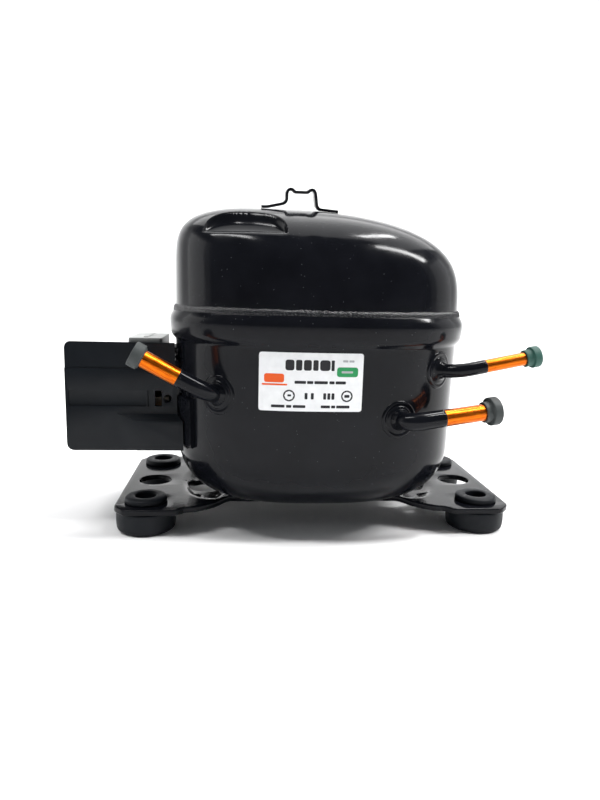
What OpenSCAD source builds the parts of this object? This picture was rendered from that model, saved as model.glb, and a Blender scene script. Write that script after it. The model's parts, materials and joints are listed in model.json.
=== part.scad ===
// Hermetic reciprocating compressor on four rubber grommets, with its terminal box and three line tubes.
// X runs from the terminal box to the line side, Y runs away from the tube side and Z is up.
// The origin is on the floor, at the centre of the four base bolts.

/* [Shell] */
// Half width of the lower shell at its top
shell_half_w = 73.3; // [73:0.1:73.6]
// Width of the lower shell less its depth, halved
shell_flat = 9.5; // [9:0.1:10]
// Roundness of the plan: 2 is an ellipse, more is squarer
plan_power = 2.6; // [2.5:0.05:2.8]
// Thickness of the pressed shells
sheet = 3; // [2.8:0.1:3.1]
// Height of the shell's underside above the floor
shell_z = 13.5; // [13:0.1:14]
// Height of the top of the dome
dome_z = 160.1; // [158.5:0.1:160.5]

/* [Base] */
// Distance between the base bolts along X
bolt_dx = 170; // [168:1:172]
// Distance between the base bolts along Y
bolt_dy = 70; // [68:1:72]
// Diameter of the hole through each grommet
grommet_bore = 10.3; // [9:0.1:11]
// Height of the top of the foot plates
foot_z = 13.8; // [13.5:0.1:14.5]

/* [Line tubes] */
// Outside diameter of the suction tube
suction_d = 8; // [7:0.1:8.2]
// Outside diameter of the process tube
process_d = 8; // [7:0.1:8.2]
// Outside diameter of the discharge tube
discharge_d = 6.35; // [6:0.05:6.5]

/* [Terminal box] */
// Outer end of the terminal cover
cover_x = -123.2; // [-126:0.1:-121]
// Half depth of the terminal cover
cover_half_d = 32; // [31.6:0.1:34]
// Height of the cover's underside
cover_z = 38.9; // [38:0.1:40.4]
// Height of the cover's top
cover_top = 92.9; // [92:0.1:94]

/* [Pump] */
// Cylinder bore
bore_d = 21; // [20:0.1:22]
// Crank throw, half of the stroke
crank_r = 6.2; // [5:0.1:6.2]
// Height of the cylinder axis
cyl_z = 123; // [122.9:0.1:123.5]
// Diameter of the crankshaft
shaft_d = 16; // [14:0.5:16]
// Height of the stator's lamination stack
stack_h = 40; // [39.8:0.1:40]

/* [Hidden] */
$fn = 48;

// Paint and metal colours
BLACK = "#15171a";
COPPER = "#c8762a";
RUBBER = "#2b2f30";
STEEL = "#9a9da1";
PLASTIC = "#33383c";
IRON = "#6d6f72";

// Shell plan and profile
RING_N = 64;
shell_x = 1;
fillet_r = 28;
fillet_top = shell_z + fillet_r;
wall_low = shell_half_w - 1;
belt_z = 93;
belt_out = 2.9;
belt_gap = 0.2;
belt_top = 1.2;
rim_z = 108.5;
skirt_z = 97.6;
upper_half_w = shell_half_w - 0.1;

// Dome: its top point, and for its left, right and front the roundness in plan and in height
apex_x = -32.4;
spread = [1.9, 2.4, 2.2];
rise = [8, 3.3, 3.2];

// Scoop pressed into the upper shell's front shoulder: its floor, and its rim above that
scoop_x = -40;
scoop_left = 16.1;
scoop_right = 22;
scoop_floor = 144.6;
scoop_rim = 10.6;

// Feet and grommets
foot_t = 3;
foot_dish = 3.5;
dish_r = 11;
dish_lip = 6;
foot_hole_d = 17;
saddle_x = 22;
wing_x = 70;
foot_half_d = 49.5;
foot_end_x = 99.5;
grommet_d = 29.5;
grommet_flange_d = 20.8;
grommet_top = 17;
well_x = 57;
well_d = 20;
pin_hole_x = 61;
pin_hole_y = 17.5;
pin_hole_d = 4;

// Drip tray strap
strap_y = -18;
strap_w = 9;
strap_t = 1.4;
strap_tilt = 7.3;

// Terminal cluster
term_x = shell_x - shell_half_w + 0.3;
term_z = 64;
pin_pcd_r = 9;
pin_r = 1.6;
wall_t = 2;
cover_end = -64.7;
cover_back = 86.4;
band_z = 79.9;
recess_top = 69.2;
recess_z = 61.3;
block_z = 40.5;
block_top = 57.6;
lid_x = -96;
lid_y = -14;
lid_w = 17;
lid_d = 36;

// Motor
stack_z = 44;
stack_top = stack_z + stack_h;
stack_half_x = 50;
stack_half_y = 48;
stack_cut = 10;
air_gap = 0.4;
rotor_r = 27.6;
slot_n = 24;
bar_n = 18;
bolt_x = 38;
bolt_y = 32;
winding_r = 42;
winding_h = 12;

// Pump
shaft_r = shaft_d/2;
shaft_foot = 28;
plate_z = 97.5;
plate_top = 106;
boss_top = 107;
web_z = 108;
web_top = 111.5;
pin_d = 10;
pin_over = 7.3;
slide_r = 11;
slide_bore_r = 9.03;
slide_half = 23;
slider_r = 9;
run_gap = 0.03;
block_x = -45;
head_half = 18;
head_bolt = 14;
plate_x = -48.7;
head_x = -62;

// Suspension springs
rail_top = 25;
spring_top = 38.5;
spring_wire_r = 0.75;
spring_mean_r = 5.75;
spring_turns = 5.5;

function unit(v) = v/norm(v);
// A signed power, for the superellipse
function spow(v, p) = sign(v)*pow(abs(v), p);
// The point at angle t of the plan whose half width is a
function plan_pt(a, t, x0 = shell_x) = [
    x0 + a*spow(cos(t), 2/plan_power),
    (a - shell_flat)*spow(sin(t), 2/plan_power)
];
function ring(a, z) = [for (i = [0:RING_N - 1]) let (p = plan_pt(a, 360*i/RING_N)) [p.x, p.y, z]];
function wall_a(z) = wall_low + (shell_half_w - wall_low)*(z - fillet_top)/(belt_z - fillet_top);
function fillet_rings(less) = [
    for (u = [0:15:75])
        let (r = fillet_r - less)
        ring(wall_low - less - r*(1 - sin(u)), shell_z + less + r*(1 - cos(u)))
];

// The outside of the lower shell up to height z, grown by g
function lower_outside(g, z) = concat(
    fillet_rings(-g), [ring(wall_low + g, fillet_top), ring(wall_a(z) + g, z)]
);

// Faces that join a stack of equal rings, with flat ends
function skin_faces(rows, n) = concat(
    [[for (i = [0:n - 1]) i]],
    [[for (i = [n - 1:-1:0]) (rows - 1)*n + i]],
    [for (k = [0:rows - 2], i = [0:n - 1])
        let (a = k*n + i, b = k*n + (i + 1)%n, c = a + n, d = b + n)
        each [[a, c, b], [b, c, d]]]
);
module skin(rings) {
    n = len(rings[0]);
    polyhedron(points = [for (r = rings) each r], faces = skin_faces(len(rings), n), convexity = 6);
}

// A dome value at plan angle t, from its values on the left, on the right and at the front
function around(v, t) = let (w = (1 + cos(t))/2, s = pow(sin(t), 2)) (v[0]*(1 - w) + v[1]*w)*(1 - s) + v[2]*s;
function smooth(v) = let (c = min(1, max(0, v))) c*c*(3 - 2*c);
// Height of the scoop's rim above its floor at a given x
function rim_at(x) = let (
        left = x < scoop_x,
        r = abs(x - scoop_x)/(left ? scoop_left : scoop_right),
        n = left ? 2.2 : 3
    ) r < 1 ? scoop_rim*pow(1 - pow(r, n), 1/n) : 0;
// Height of a dome point once the scoop is pressed into a dome whose sheet lies d below the outside
function pressed(p, d) = let (h = p.z + d - scoop_floor, rim = rim_at(p.x))
    p.y > 0 || h <= 0 || h >= rim ? p.z : scoop_floor - d + h*smooth((h/rim - 0.7)/0.3);
// One ring of the dome at u degrees down from its top, at a depth d under the outside
function dome_ring(d, u) = [
    for (i = [0:RING_N - 1])
        let (
            t = 360*i/RING_N,
            k = pow(sin(u), 2/around(spread, t)),
            b = plan_pt(upper_half_w - d, t),
            h = pow(cos(u), 2/around(rise, t)),
            p = [apex_x + (b.x - apex_x)*k, b.y*k, rim_z + (dome_z - d - rim_z)*h]
        )
        [p.x, p.y, pressed(p, d)]
];
DOME_STEPS = [5, 12, 19, 26, 32, 38, 44, 50, 56, 62, 68, 74, 80, 85, 88.5];

module lower_shell() {
    belt_in = shell_half_w + belt_gap;
    rings = concat(
        lower_outside(0, belt_z),
        [
            ring(shell_half_w + 0.8, belt_z + 0.8), ring(shell_half_w + 2.1, belt_z + 2.6),
            ring(shell_half_w + belt_out - 0.2, belt_z + 4.6), ring(shell_half_w + belt_out, belt_z + 8),
            ring(shell_half_w + belt_out, rim_z - 4.2), ring(shell_half_w + belt_out - 0.5, rim_z - 2.4),
            ring(shell_half_w + belt_top, rim_z), ring(belt_in, rim_z),
            ring(belt_in, skirt_z - 0.4), ring(belt_in - 3, skirt_z - 2.6),
            ring(shell_half_w - sheet, belt_z - 1), ring(wall_low - sheet, fillet_top)
        ],
        [for (i = [5:-1:0]) fillet_rings(sheet)[i]]
    );
    color(BLACK) difference() {
        skin(rings);
        for (tube = TUBES) tube_frame(tube) translate([-12, 0, 0]) rotate([0, 90, 0])
            cylinder(r = tube[3]/2 + hole_gap, h = 20);
        translate([term_x - 10, 0, term_z]) rotate([0, 90, 0]) cylinder(r = 15, h = 20);
    }
}

module upper_shell() {
    inner = upper_half_w - sheet;
    rings = concat(
        [for (u = DOME_STEPS) dome_ring(0, u)],
        [ring(upper_half_w, rim_z), ring(upper_half_w, skirt_z), ring(inner, skirt_z), ring(inner, rim_z)],
        [for (i = [len(DOME_STEPS) - 1:-1:0]) dome_ring(sheet, DOME_STEPS[i])]
    );
    n = RING_N;
    // the two ends close on a point each, because the first rings are not flat
    rows = len(rings);
    points = concat([for (r = rings) each r], [[apex_x, 0, dome_z], [apex_x, 0, dome_z - sheet]]);
    sides = [for (k = [0:rows - 2], i = [0:n - 1])
        let (a = k*n + i, b = k*n + (i + 1)%n, c = a + n, d = b + n) each [[a, b, c], [b, d, c]]];
    tops = [for (i = [0:n - 1]) each [
        [rows*n, (i + 1)%n, i],
        [rows*n + 1, (rows - 1)*n + i, (rows - 1)*n + (i + 1)%n]
    ]];
    color(BLACK) polyhedron(points = points, faces = concat(sides, tops), convexity = 6);
}

module shell_weld() {
    inner = upper_half_w + 0.05;
    section = [[0, 0], [1.4, 0], [1.3, 1.1], [0.8, 2.4], [0, 3.1]];
    color("#202225") ring_loop([for (p = section) ring(inner + p.x, rim_z + p.y)], false);
}

// How far inside the wall a point under the shell lies, found by halving
function inset_at(x, y, lo = 0, hi = 40, k = 14) =
    k == 0 ? lo
    : let (m = (lo + hi)/2,
           s = pow(abs(x - shell_x)/(wall_low - m), plan_power)
             + pow(abs(y)/(wall_low - shell_flat - m), plan_power))
      s < 1 ? inset_at(x, y, m, hi, k - 1) : inset_at(x, y, lo, m, k - 1);
function under_z(x, y) = let (i = inset_at(x, y))
    i >= fillet_r ? shell_z : shell_z + fillet_r - sqrt(pow(fillet_r, 2) - pow(fillet_r - i, 2));
// Top of a foot at distance x from the middle: saddle, then a wing with an oval dish about its large hole
function foot_top(side, x, y) = let (
        wing = foot_z - foot_dish*(1 - smooth((norm([x - well_x + 4, y/2]) - dish_r)/dish_lip)),
        saddle = under_z(side*min(x, 44), y) - 0.05,
        a = smooth((x - 40)/11)
    ) saddle*(1 - a) + wing*a;
function foot_half(x) = 28 + 17*smooth((x - 34)/30) + (foot_half_d - 45)*smooth((x - 64)/6);

module saddle(side) {
    nx = 20;
    ny = 18;
    row = ny + 1;
    grid = [for (i = [0:nx], j = [0:ny])
        let (x = saddle_x + (wing_x - saddle_x)*i/nx, y = foot_half(x)*(2*j/ny - 1))
        [side*x, y, foot_top(side, x, y)]];
    points = concat(grid, [for (p = grid) [p.x, p.y, p.z - foot_t]]);
    m = len(grid);
    quads = concat(
        [for (i = [0:nx - 1], j = [0:ny - 1]) let (a = i*row + j) [a, a + row, a + row + 1, a + 1]],
        [for (i = [0:nx - 1], j = [0:ny - 1]) let (a = m + i*row + j) [a, a + 1, a + row + 1, a + row]],
        [for (i = [0:nx - 1]) [i*row, m + i*row, m + i*row + row, i*row + row]],
        [for (i = [0:nx - 1]) let (a = i*row + ny) [a, a + row, m + a + row, m + a]],
        [for (j = [0:ny - 1]) [j, j + 1, m + j + 1, m + j]],
        [for (j = [0:ny - 1]) let (a = nx*row + j) [a, m + a, m + a + 1, a + 1]]
    );
    tris = [for (q = quads) each [[q[0], q[1], q[2]], [q[0], q[2], q[3]]]];
    polyhedron(points = points, faces = side < 0 ? tris : [for (t = tris) [t[2], t[1], t[0]]], convexity = 6);
}

module foot(side) {
    color(BLACK) difference() {
        union() {
            saddle(side);
            translate([0, 0, foot_z - foot_t]) linear_extrude(foot_t) polygon([for (p = [
                [wing_x, -foot_half_d], [foot_end_x - 5.5, -foot_half_d], [foot_end_x, -foot_half_d + 6.5],
                [foot_end_x, foot_half_d - 6.5], [foot_end_x - 5.5, foot_half_d], [wing_x, foot_half_d]
            ]) [side*p.x, p.y]]);
        }
        for (y = [-bolt_dy/2, 0, bolt_dy/2])
            translate([side*bolt_dx/2, y, 0]) cylinder(d = foot_hole_d, h = 30);
        translate([side*well_x, 0, 0]) cylinder(d = well_d, h = 30);
        for (y = [-pin_hole_y, pin_hole_y])
            translate([side*pin_hole_x, y, 0]) cylinder(d = pin_hole_d, h = 30);
    }
}
module left_foot() { foot(-1); }
module right_foot() { foot(1); }

module grommet(sx, sy) {
    neck_r = foot_hole_d/2 - 0.05;
    bore_r = grommet_bore/2;
    flange_r = grommet_flange_d/2;
    color(RUBBER) translate([sx*bolt_dx/2, sy*bolt_dy/2, 0]) rotate_extrude() polygon([
        [bore_r, 0], [grommet_d/2 - 1.5, 0], [grommet_d/2, 1.5], [grommet_d/2, foot_z - foot_t],
        [neck_r, foot_z - foot_t], [neck_r, foot_z], [flange_r, foot_z],
        [flange_r, foot_z + 1.7], [flange_r - 0.6, foot_z + 2.5], [flange_r - 1.8, grommet_top - 0.1],
        [bore_r + 1.2, grommet_top], [bore_r + 0.3, grommet_top - 0.3], [bore_r, grommet_top - 0.9]
    ]);
}
module grommet_front_left() { grommet(-1, -1); }
module grommet_front_right() { grommet(1, -1); }
module grommet_rear_left() { grommet(-1, 1); }
module grommet_rear_right() { grommet(1, 1); }

// Outline of a strip of even thickness along a path, mitred at its bends
function across(path, i) = let (d = unit(path[i + 1] - path[i])) [-d.y, d.x];
function mitre(path, i) = let (
        a = across(path, max(0, i - 1)),
        b = across(path, min(len(path) - 2, i)),
        m = unit(a + b)
    ) m/(m*a);
function strip(path, t) = concat(
    [for (i = [0:len(path) - 1]) path[i] + mitre(path, i)*t/2],
    [for (i = [len(path) - 1:-1:0]) path[i] - mitre(path, i)*t/2]
);

module tray_bracket() {
    seat = dome_z - 0.15;
    low = dome_z - 0.6;
    top = seat + 8.7;
    color(BLACK) translate([0, strap_y, seat]) rotate([90 + strap_tilt, 0, 0])
        translate([0, -seat, -strap_w/2]) linear_extrude(strap_w) polygon(strip([
            [-29.2, seat], [-26.4, seat], [-18.2, seat + 1.8], [-16.8, seat + 3.2],
            [-16.8, top - 1.4], [-15.5, top],
            [-14, top - 0.2], [-13, top - 1.4], [-6.4, top - 1.4], [-5.4, top - 0.2], [-3.9, top],
            [-2.8, top - 1.4], [-1.9, low + 1.4], [-0.6, low], [8.8, low - 0.7]
        ], strap_t));
}

// A band that lies on the lower shell's wall from angle t0 to t1
module wall_band(t0, t1, z0, z1, gap, thick, steps) {
    skin([for (i = [0:steps])
        let (
            t = t0 + (t1 - t0)*i/steps,
            corners = [[gap + thick, z0], [gap, z0], [gap, z1], [gap + thick, z1]]
        )
        [for (c = corners) let (p = plan_pt(wall_a(c[1]) + c[0], t)) [p.x, p.y, c[1]]]]);
}
// The plan angle on the front wall at a given x
function front_angle(x) = 270 + asin(spow((x - shell_x)/shell_half_w, plan_power/2));

module rating_label() {
    color("#eef0ee") wall_band(front_angle(-30.1), front_angle(16.7), 65.6, 92.3, 0.08, 0.25, 12);
}

// Line tubes: point on the shell, plan angle of the stub and its rise, diameter, length of the stub,
// point at the end, size of the bend, length of the bare end
SUCTION = [[35.5, -59.5, 61.4], 17.5, 0, suction_d, 9, [80.4, -61, 66.2], 8, 26];
PROCESS = [[-49, -52.9, 71], -33.7, 14, process_d, 9, [-84.7, -62, 90.2], 8, 21];
DISCHARGE = [[56.4, -49.3, 83.6], 43, 0, discharge_d, 9, [102.4, -52, 91.2], 8, 26];
TUBES = [SUCTION, PROCESS, DISCHARGE];
tube_wall = 0.8;
tube_in = 4.5;
tube_sides = 12;
paint_t = 0.1;
hole_gap = 0.4;
cap_end = 1.4;

function stub_dir(tube) = [sin(tube[1])*cos(tube[2]), -cos(tube[1])*cos(tube[2]), sin(tube[2])];
function tube_mid(tube) = tube[0] + tube[4]*stub_dir(tube);
function end_dir(tube) = unit(tube[5] - tube_mid(tube));
// Local frame of a tube: x along its axis, y towards the side it bends to
module frame_at(o, ex, side) {
    ez = unit(cross(ex, side));
    ey = cross(ez, ex);
    multmatrix([[ex.x, ey.x, ez.x, o.x], [ex.y, ey.y, ez.y, o.y], [ex.z, ey.z, ez.z, o.z]]) children();
}
module tube_frame(tube) { frame_at(tube[0], stub_dir(tube), end_dir(tube)) children(); }
module end_frame(tube) { frame_at(tube[5], end_dir(tube), stub_dir(tube)) children(); }

// Centre line of the painted stretch: a straight stub, a bend and a straight run
function tube_path(tube) =
    let (m = tube_mid(tube), p = m - tube[6]*stub_dir(tube), q = m + tube[6]*end_dir(tube))
    concat(
        [tube[0] - tube_in*stub_dir(tube)],
        [for (u = [0:0.125:1]) pow(1 - u, 2)*p + 2*u*(1 - u)*m + u*u*q],
        [tube[5] - tube[7]*end_dir(tube)]
    );
// Rings of n points around a path
function rings_on(path, r, n) = let (last = len(path) - 1) [
    for (i = [0:last])
        let (
            t = unit(path[min(last, i + 1)] - path[max(0, i - 1)]),
            s = unit(cross(t, [0.31, 0.87, 0.38])),
            w = cross(s, t)
        )
        [for (k = [0:n - 1]) path[i] + r*(cos(360*k/n)*s - sin(360*k/n)*w)]
];
// Closes a loop of equal rings on itself, as around a ring's own cross-section
module ring_loop(rings, flip) {
    n = len(rings[0]);
    m = len(rings);
    faces = [for (k = [0:m - 1], i = [0:n - 1])
        let (a = k*n + i, b = k*n + (i + 1)%n, c = ((k + 1)%m)*n + i, d = ((k + 1)%m)*n + (i + 1)%n)
        each [[a, c, b], [b, c, d]]];
    polyhedron(points = [for (r = rings) each r], convexity = 6,
        faces = flip ? [for (f = faces) [f[2], f[1], f[0]]] : faces);
}
module line_tube(tube) {
    r = tube[3]/2;
    path = tube_path(tube);
    outer = rings_on(path, (r + paint_t)/cos(180/tube_sides), tube_sides);
    inner = rings_on(path, r - tube_wall - 0.05, tube_sides);
    ring_loop(concat(outer, [for (i = [len(path) - 1:-1:0]) inner[i]]), false);
    lap = 2;
    end_frame(tube) translate([-tube[7] - lap, 0, 0]) rotate([0, 90, 0]) difference() {
        cylinder(r = r, h = tube[7] + lap);
        translate([0, 0, -1]) cylinder(r = r - tube_wall, h = tube[7] + lap + 2);
    }
}
module suction_tube() { color(COPPER) line_tube(SUCTION); }
module process_tube() { color(COPPER) line_tube(PROCESS); }
module discharge_tube() { color(COPPER) line_tube(DISCHARGE); }

// Brazed collars, shaped to the wall that they stand on
module tube_collars() {
    root = -3.5;
    color(BLACK) difference() {
        for (tube = TUBES) tube_frame(tube) rotate([0, 90, 0]) rotate_extrude() polygon([
            [tube[3]/2 + hole_gap, root], [9, root], [9, 0.4], [8.6, 1], [6.6, 1.4], [5.4, 2.2],
            [tube[3]/2 + hole_gap, 2.6]
        ]);
        skin(lower_outside(0.06, belt_z));
    }
}

// Push-on transit cap: a flange of diameter d over the tube's end, with a thin sleeve behind it
module line_cap(tube, d, flange, sleeve, tint) {
    r = tube[3]/2 + run_gap;
    back = cap_end - flange;
    edge = 0.5;
    color(tint) end_frame(tube) rotate([0, 90, 0]) rotate_extrude() polygon([
        [0, 0.1], [r, 0.1], [r, back - sleeve], [r + 0.9, back - sleeve], [r + 0.9, back],
        [d/2 - edge, back], [d/2, back + edge], [d/2, cap_end - edge], [d/2 - edge, cap_end], [0, cap_end]
    ]);
}
module suction_cap() { line_cap(SUCTION, 13.5, 4.4, 2.9, RUBBER); }
module process_cap() { line_cap(PROCESS, 11.6, 4.7, 0.6, RUBBER); }
module discharge_cap() { line_cap(DISCHARGE, 10.3, 4, 3.3, "#1f5a4a"); }

// Places a shape drawn around Z onto the terminal's axis, with its top facing outwards
module on_terminal(y = 0, z = 0) { translate([term_x, y, term_z + z]) rotate([0, -90, 0]) children(); }
PINS = [for (a = [90, 210, 330]) [pin_pcd_r*cos(a), pin_pcd_r*sin(a)]];

module terminal_cup() {
    color(STEEL) difference() {
        union() {
            on_terminal() translate([0, 0, 0.4]) cylinder(r = 17.5, h = 1.6);
            on_terminal() translate([0, 0, -4]) cylinder(r = 14.9, h = 5);
        }
        on_terminal() translate([0, 0, -5]) cylinder(r = 13, h = 4.4);
        for (p = PINS) on_terminal(p.x, p.y) translate([0, 0, -5]) cylinder(r = 4, h = 10);
    }
}
module terminal_glass() {
    for (p = PINS) color("#3d6e5c") on_terminal(p.x, p.y) difference() {
        translate([0, 0, -0.6]) cylinder(r = 4, h = 3);
        translate([0, 0, -1]) cylinder(r = pin_r, h = 5);
    }
}
module terminal_pins() {
    for (p = PINS) color(STEEL) on_terminal(p.x, p.y) translate([0, 0, -12]) cylinder(r = pin_r, h = 26);
}

module cover_bracket() {
    inner_y = cover_half_d - wall_t - 0.4;
    low = cover_z + wall_t + 0.4;
    high = cover_back - wall_t - 0.4;
    t = 1.5;
    color(BLACK) difference() {
        union() {
            difference() {
                translate([-76, -inner_y, low]) cube([16, 2*inner_y, high - low]);
                translate([-80, -inner_y + t, low + t]) cube([30, 2*inner_y - 2*t, high - low - 2*t]);
                skin(lower_outside(0.6, belt_z));
            }
            wall_band(142, 216, cover_z + 4, cover_z + 28, 0.06, 1.8, 14);
        }
        on_terminal() translate([0, 0, -20]) cylinder(r = 18.2, h = 40);
    }
}

// A square with four round corners, kept as true arcs
module round_box(w, h, r) {
    translate([r, 0]) square([w - 2*r, h]);
    translate([0, r]) square([w, h - 2*r]);
    for (x = [r, w - r], y = [r, h - r]) translate([x, y]) circle(r);
}
// Extrudes a shape drawn in X and Z from y0 towards +Y
module along_y(y0, len) { translate([0, y0 + len, 0]) rotate([90, 0, 0]) linear_extrude(len) children(); }

// Corner block of the cover: a slanted outer end and a top that slopes to the front
module corner_block() {
    front = -cover_half_d - 6.5;
    intersection() {
        translate([0, 0, block_z]) linear_extrude(20) polygon([
            [-99.1, -cover_half_d + 1], [-99.1, -cover_half_d], [-88.1, front],
            [cover_end - 1, front], [cover_end - 1, -cover_half_d + 1]
        ]);
        translate([cover_x, 0, 0]) rotate([90, 0, 90]) linear_extrude(80) polygon([
            [front - 1, block_z - 1], [-cover_half_d + 2, block_z - 1],
            [-cover_half_d + 2, block_top + 0.8], [front - 1, block_top - 2.8]
        ]);
    }
}

// Everything below the cover's sloping top, lowered by d
module below_top(d) {
    y = cover_half_d + 10;
    fall = (cover_top - cover_back)/cover_half_d/2;
    mid = (cover_top + cover_back)/2 - d;
    translate([cover_x - 1, 0, 0]) rotate([90, 0, 90]) linear_extrude(80)
        polygon([[-y, 0], [y, 0], [y, mid - y*fall], [-y, mid + y*fall]]);
}

module terminal_cover() {
    face = -cover_half_d;
    color(PLASTIC) difference() {
        union() {
            intersection() {
                along_y(face, 2*cover_half_d) translate([cover_x, cover_z])
                    round_box(cover_end - cover_x + 6, cover_top - cover_z + 0.1, 4);
                below_top(0);
            }
            corner_block();
        }
        intersection() {
            along_y(face + wall_t, 2*(cover_half_d - wall_t)) translate([cover_x + wall_t, cover_z + wall_t])
                round_box(80, cover_top - cover_z - 2*wall_t + 0.1, 2);
            below_top(wall_t);
        }
        translate([cover_end, -60, 0]) cube([20, 120, 120]);
        skin(lower_outside(2.6, belt_z));
        // shallow steps of the front face, with a slot, a window and a screw hole in the recess
        translate([cover_x - 1, face - 1, band_z]) cube([80, 1.8, 20]);
        translate([cover_x + 1.5, face - 1, recess_z]) cube([37.5, 1.9, recess_top - recess_z]);
        translate([-83.8, face - 1, recess_z]) cube([0.6, 1.8, recess_top - recess_z]);
        translate([-80.3, face - 1, recess_z]) cube([3.4, 2.6, recess_top - recess_z]);
        translate([-74.2, face + 1, 65.2]) rotate([90, 0, 0]) cylinder(r = 2.1, h = 4);
    }
}

module cable_lid() {
    color("#c9cbc9") difference() {
        translate([lid_x, lid_y, cover_back - 4]) linear_extrude(11.6) round_box(lid_w, lid_d, 2);
        translate([0, 0, 0.02]) below_top(0);
    }
}
module run_capacitor() {
    color("#d8d4c6") translate([0, 0, 48]) linear_extrude(34) translate([-118.5, -24]) round_box(21, 48, 4);
}
module ptc_starter() {
    color("#e6e2d2") difference() {
        translate([-91, -20, 46]) cube([16, 40, 18]);
        for (p = PINS) if (p.y < 0) on_terminal(p.x, p.y) cylinder(r = pin_r + 0.05, h = 15);
    }
}
module overload_protector() {
    color("#22252a") difference() {
        on_terminal(0, 12.6) translate([0, 0, 4.6]) cylinder(r = 10.5, h = 13);
        on_terminal(PINS[0].x, PINS[0].y) cylinder(r = pin_r + 0.05, h = 15);
    }
}

module inner_connector() {
    color("#ded8c4") difference() {
        translate([-65.8, -13, 54]) cube([9.5, 26, 23]);
        for (p = PINS) on_terminal(p.x, p.y) translate([0, 0, -12.2]) cylinder(r = pin_r + 0.05, h = 20);
    }
}

// Smooth curve through hand-set points, as a list of points
function spline_pt(p, i, u) = let (
        a = p[max(0, i - 1)], b = p[i], c = p[i + 1], d = p[min(len(p) - 1, i + 2)]
    ) 0.5*((2*b) + (c - a)*u + (2*a - 5*b + 4*c - d)*u*u + (3*b - a - 3*c + d)*u*u*u);
function spline(p, n) = concat(
    [for (i = [0:len(p) - 2], k = [0:n - 1]) spline_pt(p, i, k/n)], [p[len(p) - 1]]);
module rod(path, r) { skin(rings_on(path, r, 8)); }

LEAD_ROUTE = [[-61, 0, 77.4], [-61, 1, 84], [-57, 4, 90.5], [-50, 7, 92], [-43.5, 8, 91]];
module motor_leads() {
    for (k = [-1, 0, 1]) color(["#b03a30", "#e8e4da", "#2e4f8f"][k + 1])
        rod([for (p = spline(LEAD_ROUTE, 3)) p + [0, 5*k, 0]], 1.3);
}

// Turns a shape drawn around Z so that its top faces the cylinder head
module on_cylinder(x) { translate([x, 0, cyl_z]) rotate([0, 90, 0]) children(); }
module head_holes(x, len, r) {
    for (y = [-head_bolt, head_bolt], z = [-head_bolt, head_bolt])
        translate([x, y, cyl_z + z]) rotate([0, 90, 0]) cylinder(r = r, h = len);
}
module head_slab(x, len) {
    translate([x, head_half, cyl_z]) rotate([90, 0, 0]) translate([0, -head_half, 0])
        cube([len, 2*head_half, 2*head_half]);
}

module cylinder_block() {
    chamfer = 12;
    px = 45;
    py = 42;
    color(IRON) difference() {
        union() {
            translate([0, 0, plate_z]) linear_extrude(plate_top - plate_z) polygon([
                [-px, -py + chamfer], [-px + chamfer, -py], [px - chamfer, -py], [px, -py + chamfer],
                [px, py - chamfer], [px - chamfer, py], [-px + chamfer, py], [-px, py - chamfer]
            ]);
            translate([0, 0, 86]) cylinder(r = 13, h = boss_top - 86);
            for (x = [-bolt_x, bolt_x], y = [-bolt_y, bolt_y])
                translate([x, y, stack_top]) cylinder(r = 6.5, h = plate_z - stack_top + 1);
            on_cylinder(block_x) cylinder(r = 17, h = 26);
            translate([block_x, -14, plate_top - 1]) cube([26, 28, cyl_z - plate_top - 6]);
            head_slab(block_x, 6);
        }
        translate([0, 0, 80]) cylinder(r = shaft_r + run_gap, h = 40);
        on_cylinder(block_x - 1) cylinder(d = bore_d + 2*run_gap, h = 40);
        for (x = [-bolt_x, bolt_x], y = [-bolt_y, bolt_y])
            translate([x, y, stack_top - 1]) cylinder(r = 2.5, h = 13);
        head_holes(block_x - 1, 11, 2);
        // lightening hole on the far side, and a shallow one under the cylinder
        translate([30, 0, plate_z - 1]) cylinder(r = 7, h = 12);
        translate([-30, 0, plate_z - 1]) cylinder(r = 7, h = 3);
    }
}
module thrust_washer() {
    color("#c7b26a") translate([0, 0, boss_top]) difference() {
        cylinder(r = 14, h = 0.9);
        translate([0, 0, -1]) cylinder(r = shaft_r + 0.2, h = 3);
    }
}
module valve_gasket() {
    color("#7d8a90") difference() {
        head_slab(block_x - 0.6, 0.6);
        on_cylinder(block_x - 1) cylinder(r = 11.6, h = 3);
        head_holes(block_x - 1, 3, 2.1);
    }
}
module valve_plate() {
    color(STEEL) difference() {
        head_slab(plate_x, 3.1);
        head_holes(plate_x - 1, 6, 2.1);
        translate([plate_x - 1, -4.5, cyl_z + 3]) rotate([0, 90, 0]) cylinder(r = 2.5, h = 6);
        translate([plate_x - 1, 5, cyl_z + 3]) rotate([0, 90, 0]) cylinder(r = 2.2, h = 6);
    }
}
// A valve leaf in the plane across the cylinder, clamped at its lower end
module leaf(x, y, w, low, high, t) {
    translate([x, y, cyl_z]) rotate([90, 0, 90]) linear_extrude(t) {
        translate([-w/2, low]) square([w, high - low - w/2]);
        translate([0, high - w/2]) circle(w/2);
    }
}
module suction_reed() { color("#b9bcc0") leaf(block_x - 0.59, -4.5, 7, -8, 8, 0.3); }
module discharge_reed() { color("#b9bcc0") leaf(plate_x - 0.32, 5, 6.4, -8, 7.4, 0.3); }
module reed_stop() {
    color(STEEL) difference() {
        union() {
            leaf(plate_x - 3, 5, 6, -9.6, 7, 1);
            translate([plate_x - 2.5, 2, cyl_z - 9.6]) cube([2.5, 6, 1.5]);
        }
        translate([plate_x - 4, 5, cyl_z + 3]) rotate([0, 90, 0]) cylinder(r = 1, h = 6);
    }
}
module head_gasket() {
    color("#7d8a90") difference() {
        head_slab(plate_x - 0.5, 0.5);
        head_pockets(plate_x - 1, 3);
        head_holes(plate_x - 1, 3, 2.1);
    }
}
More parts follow.
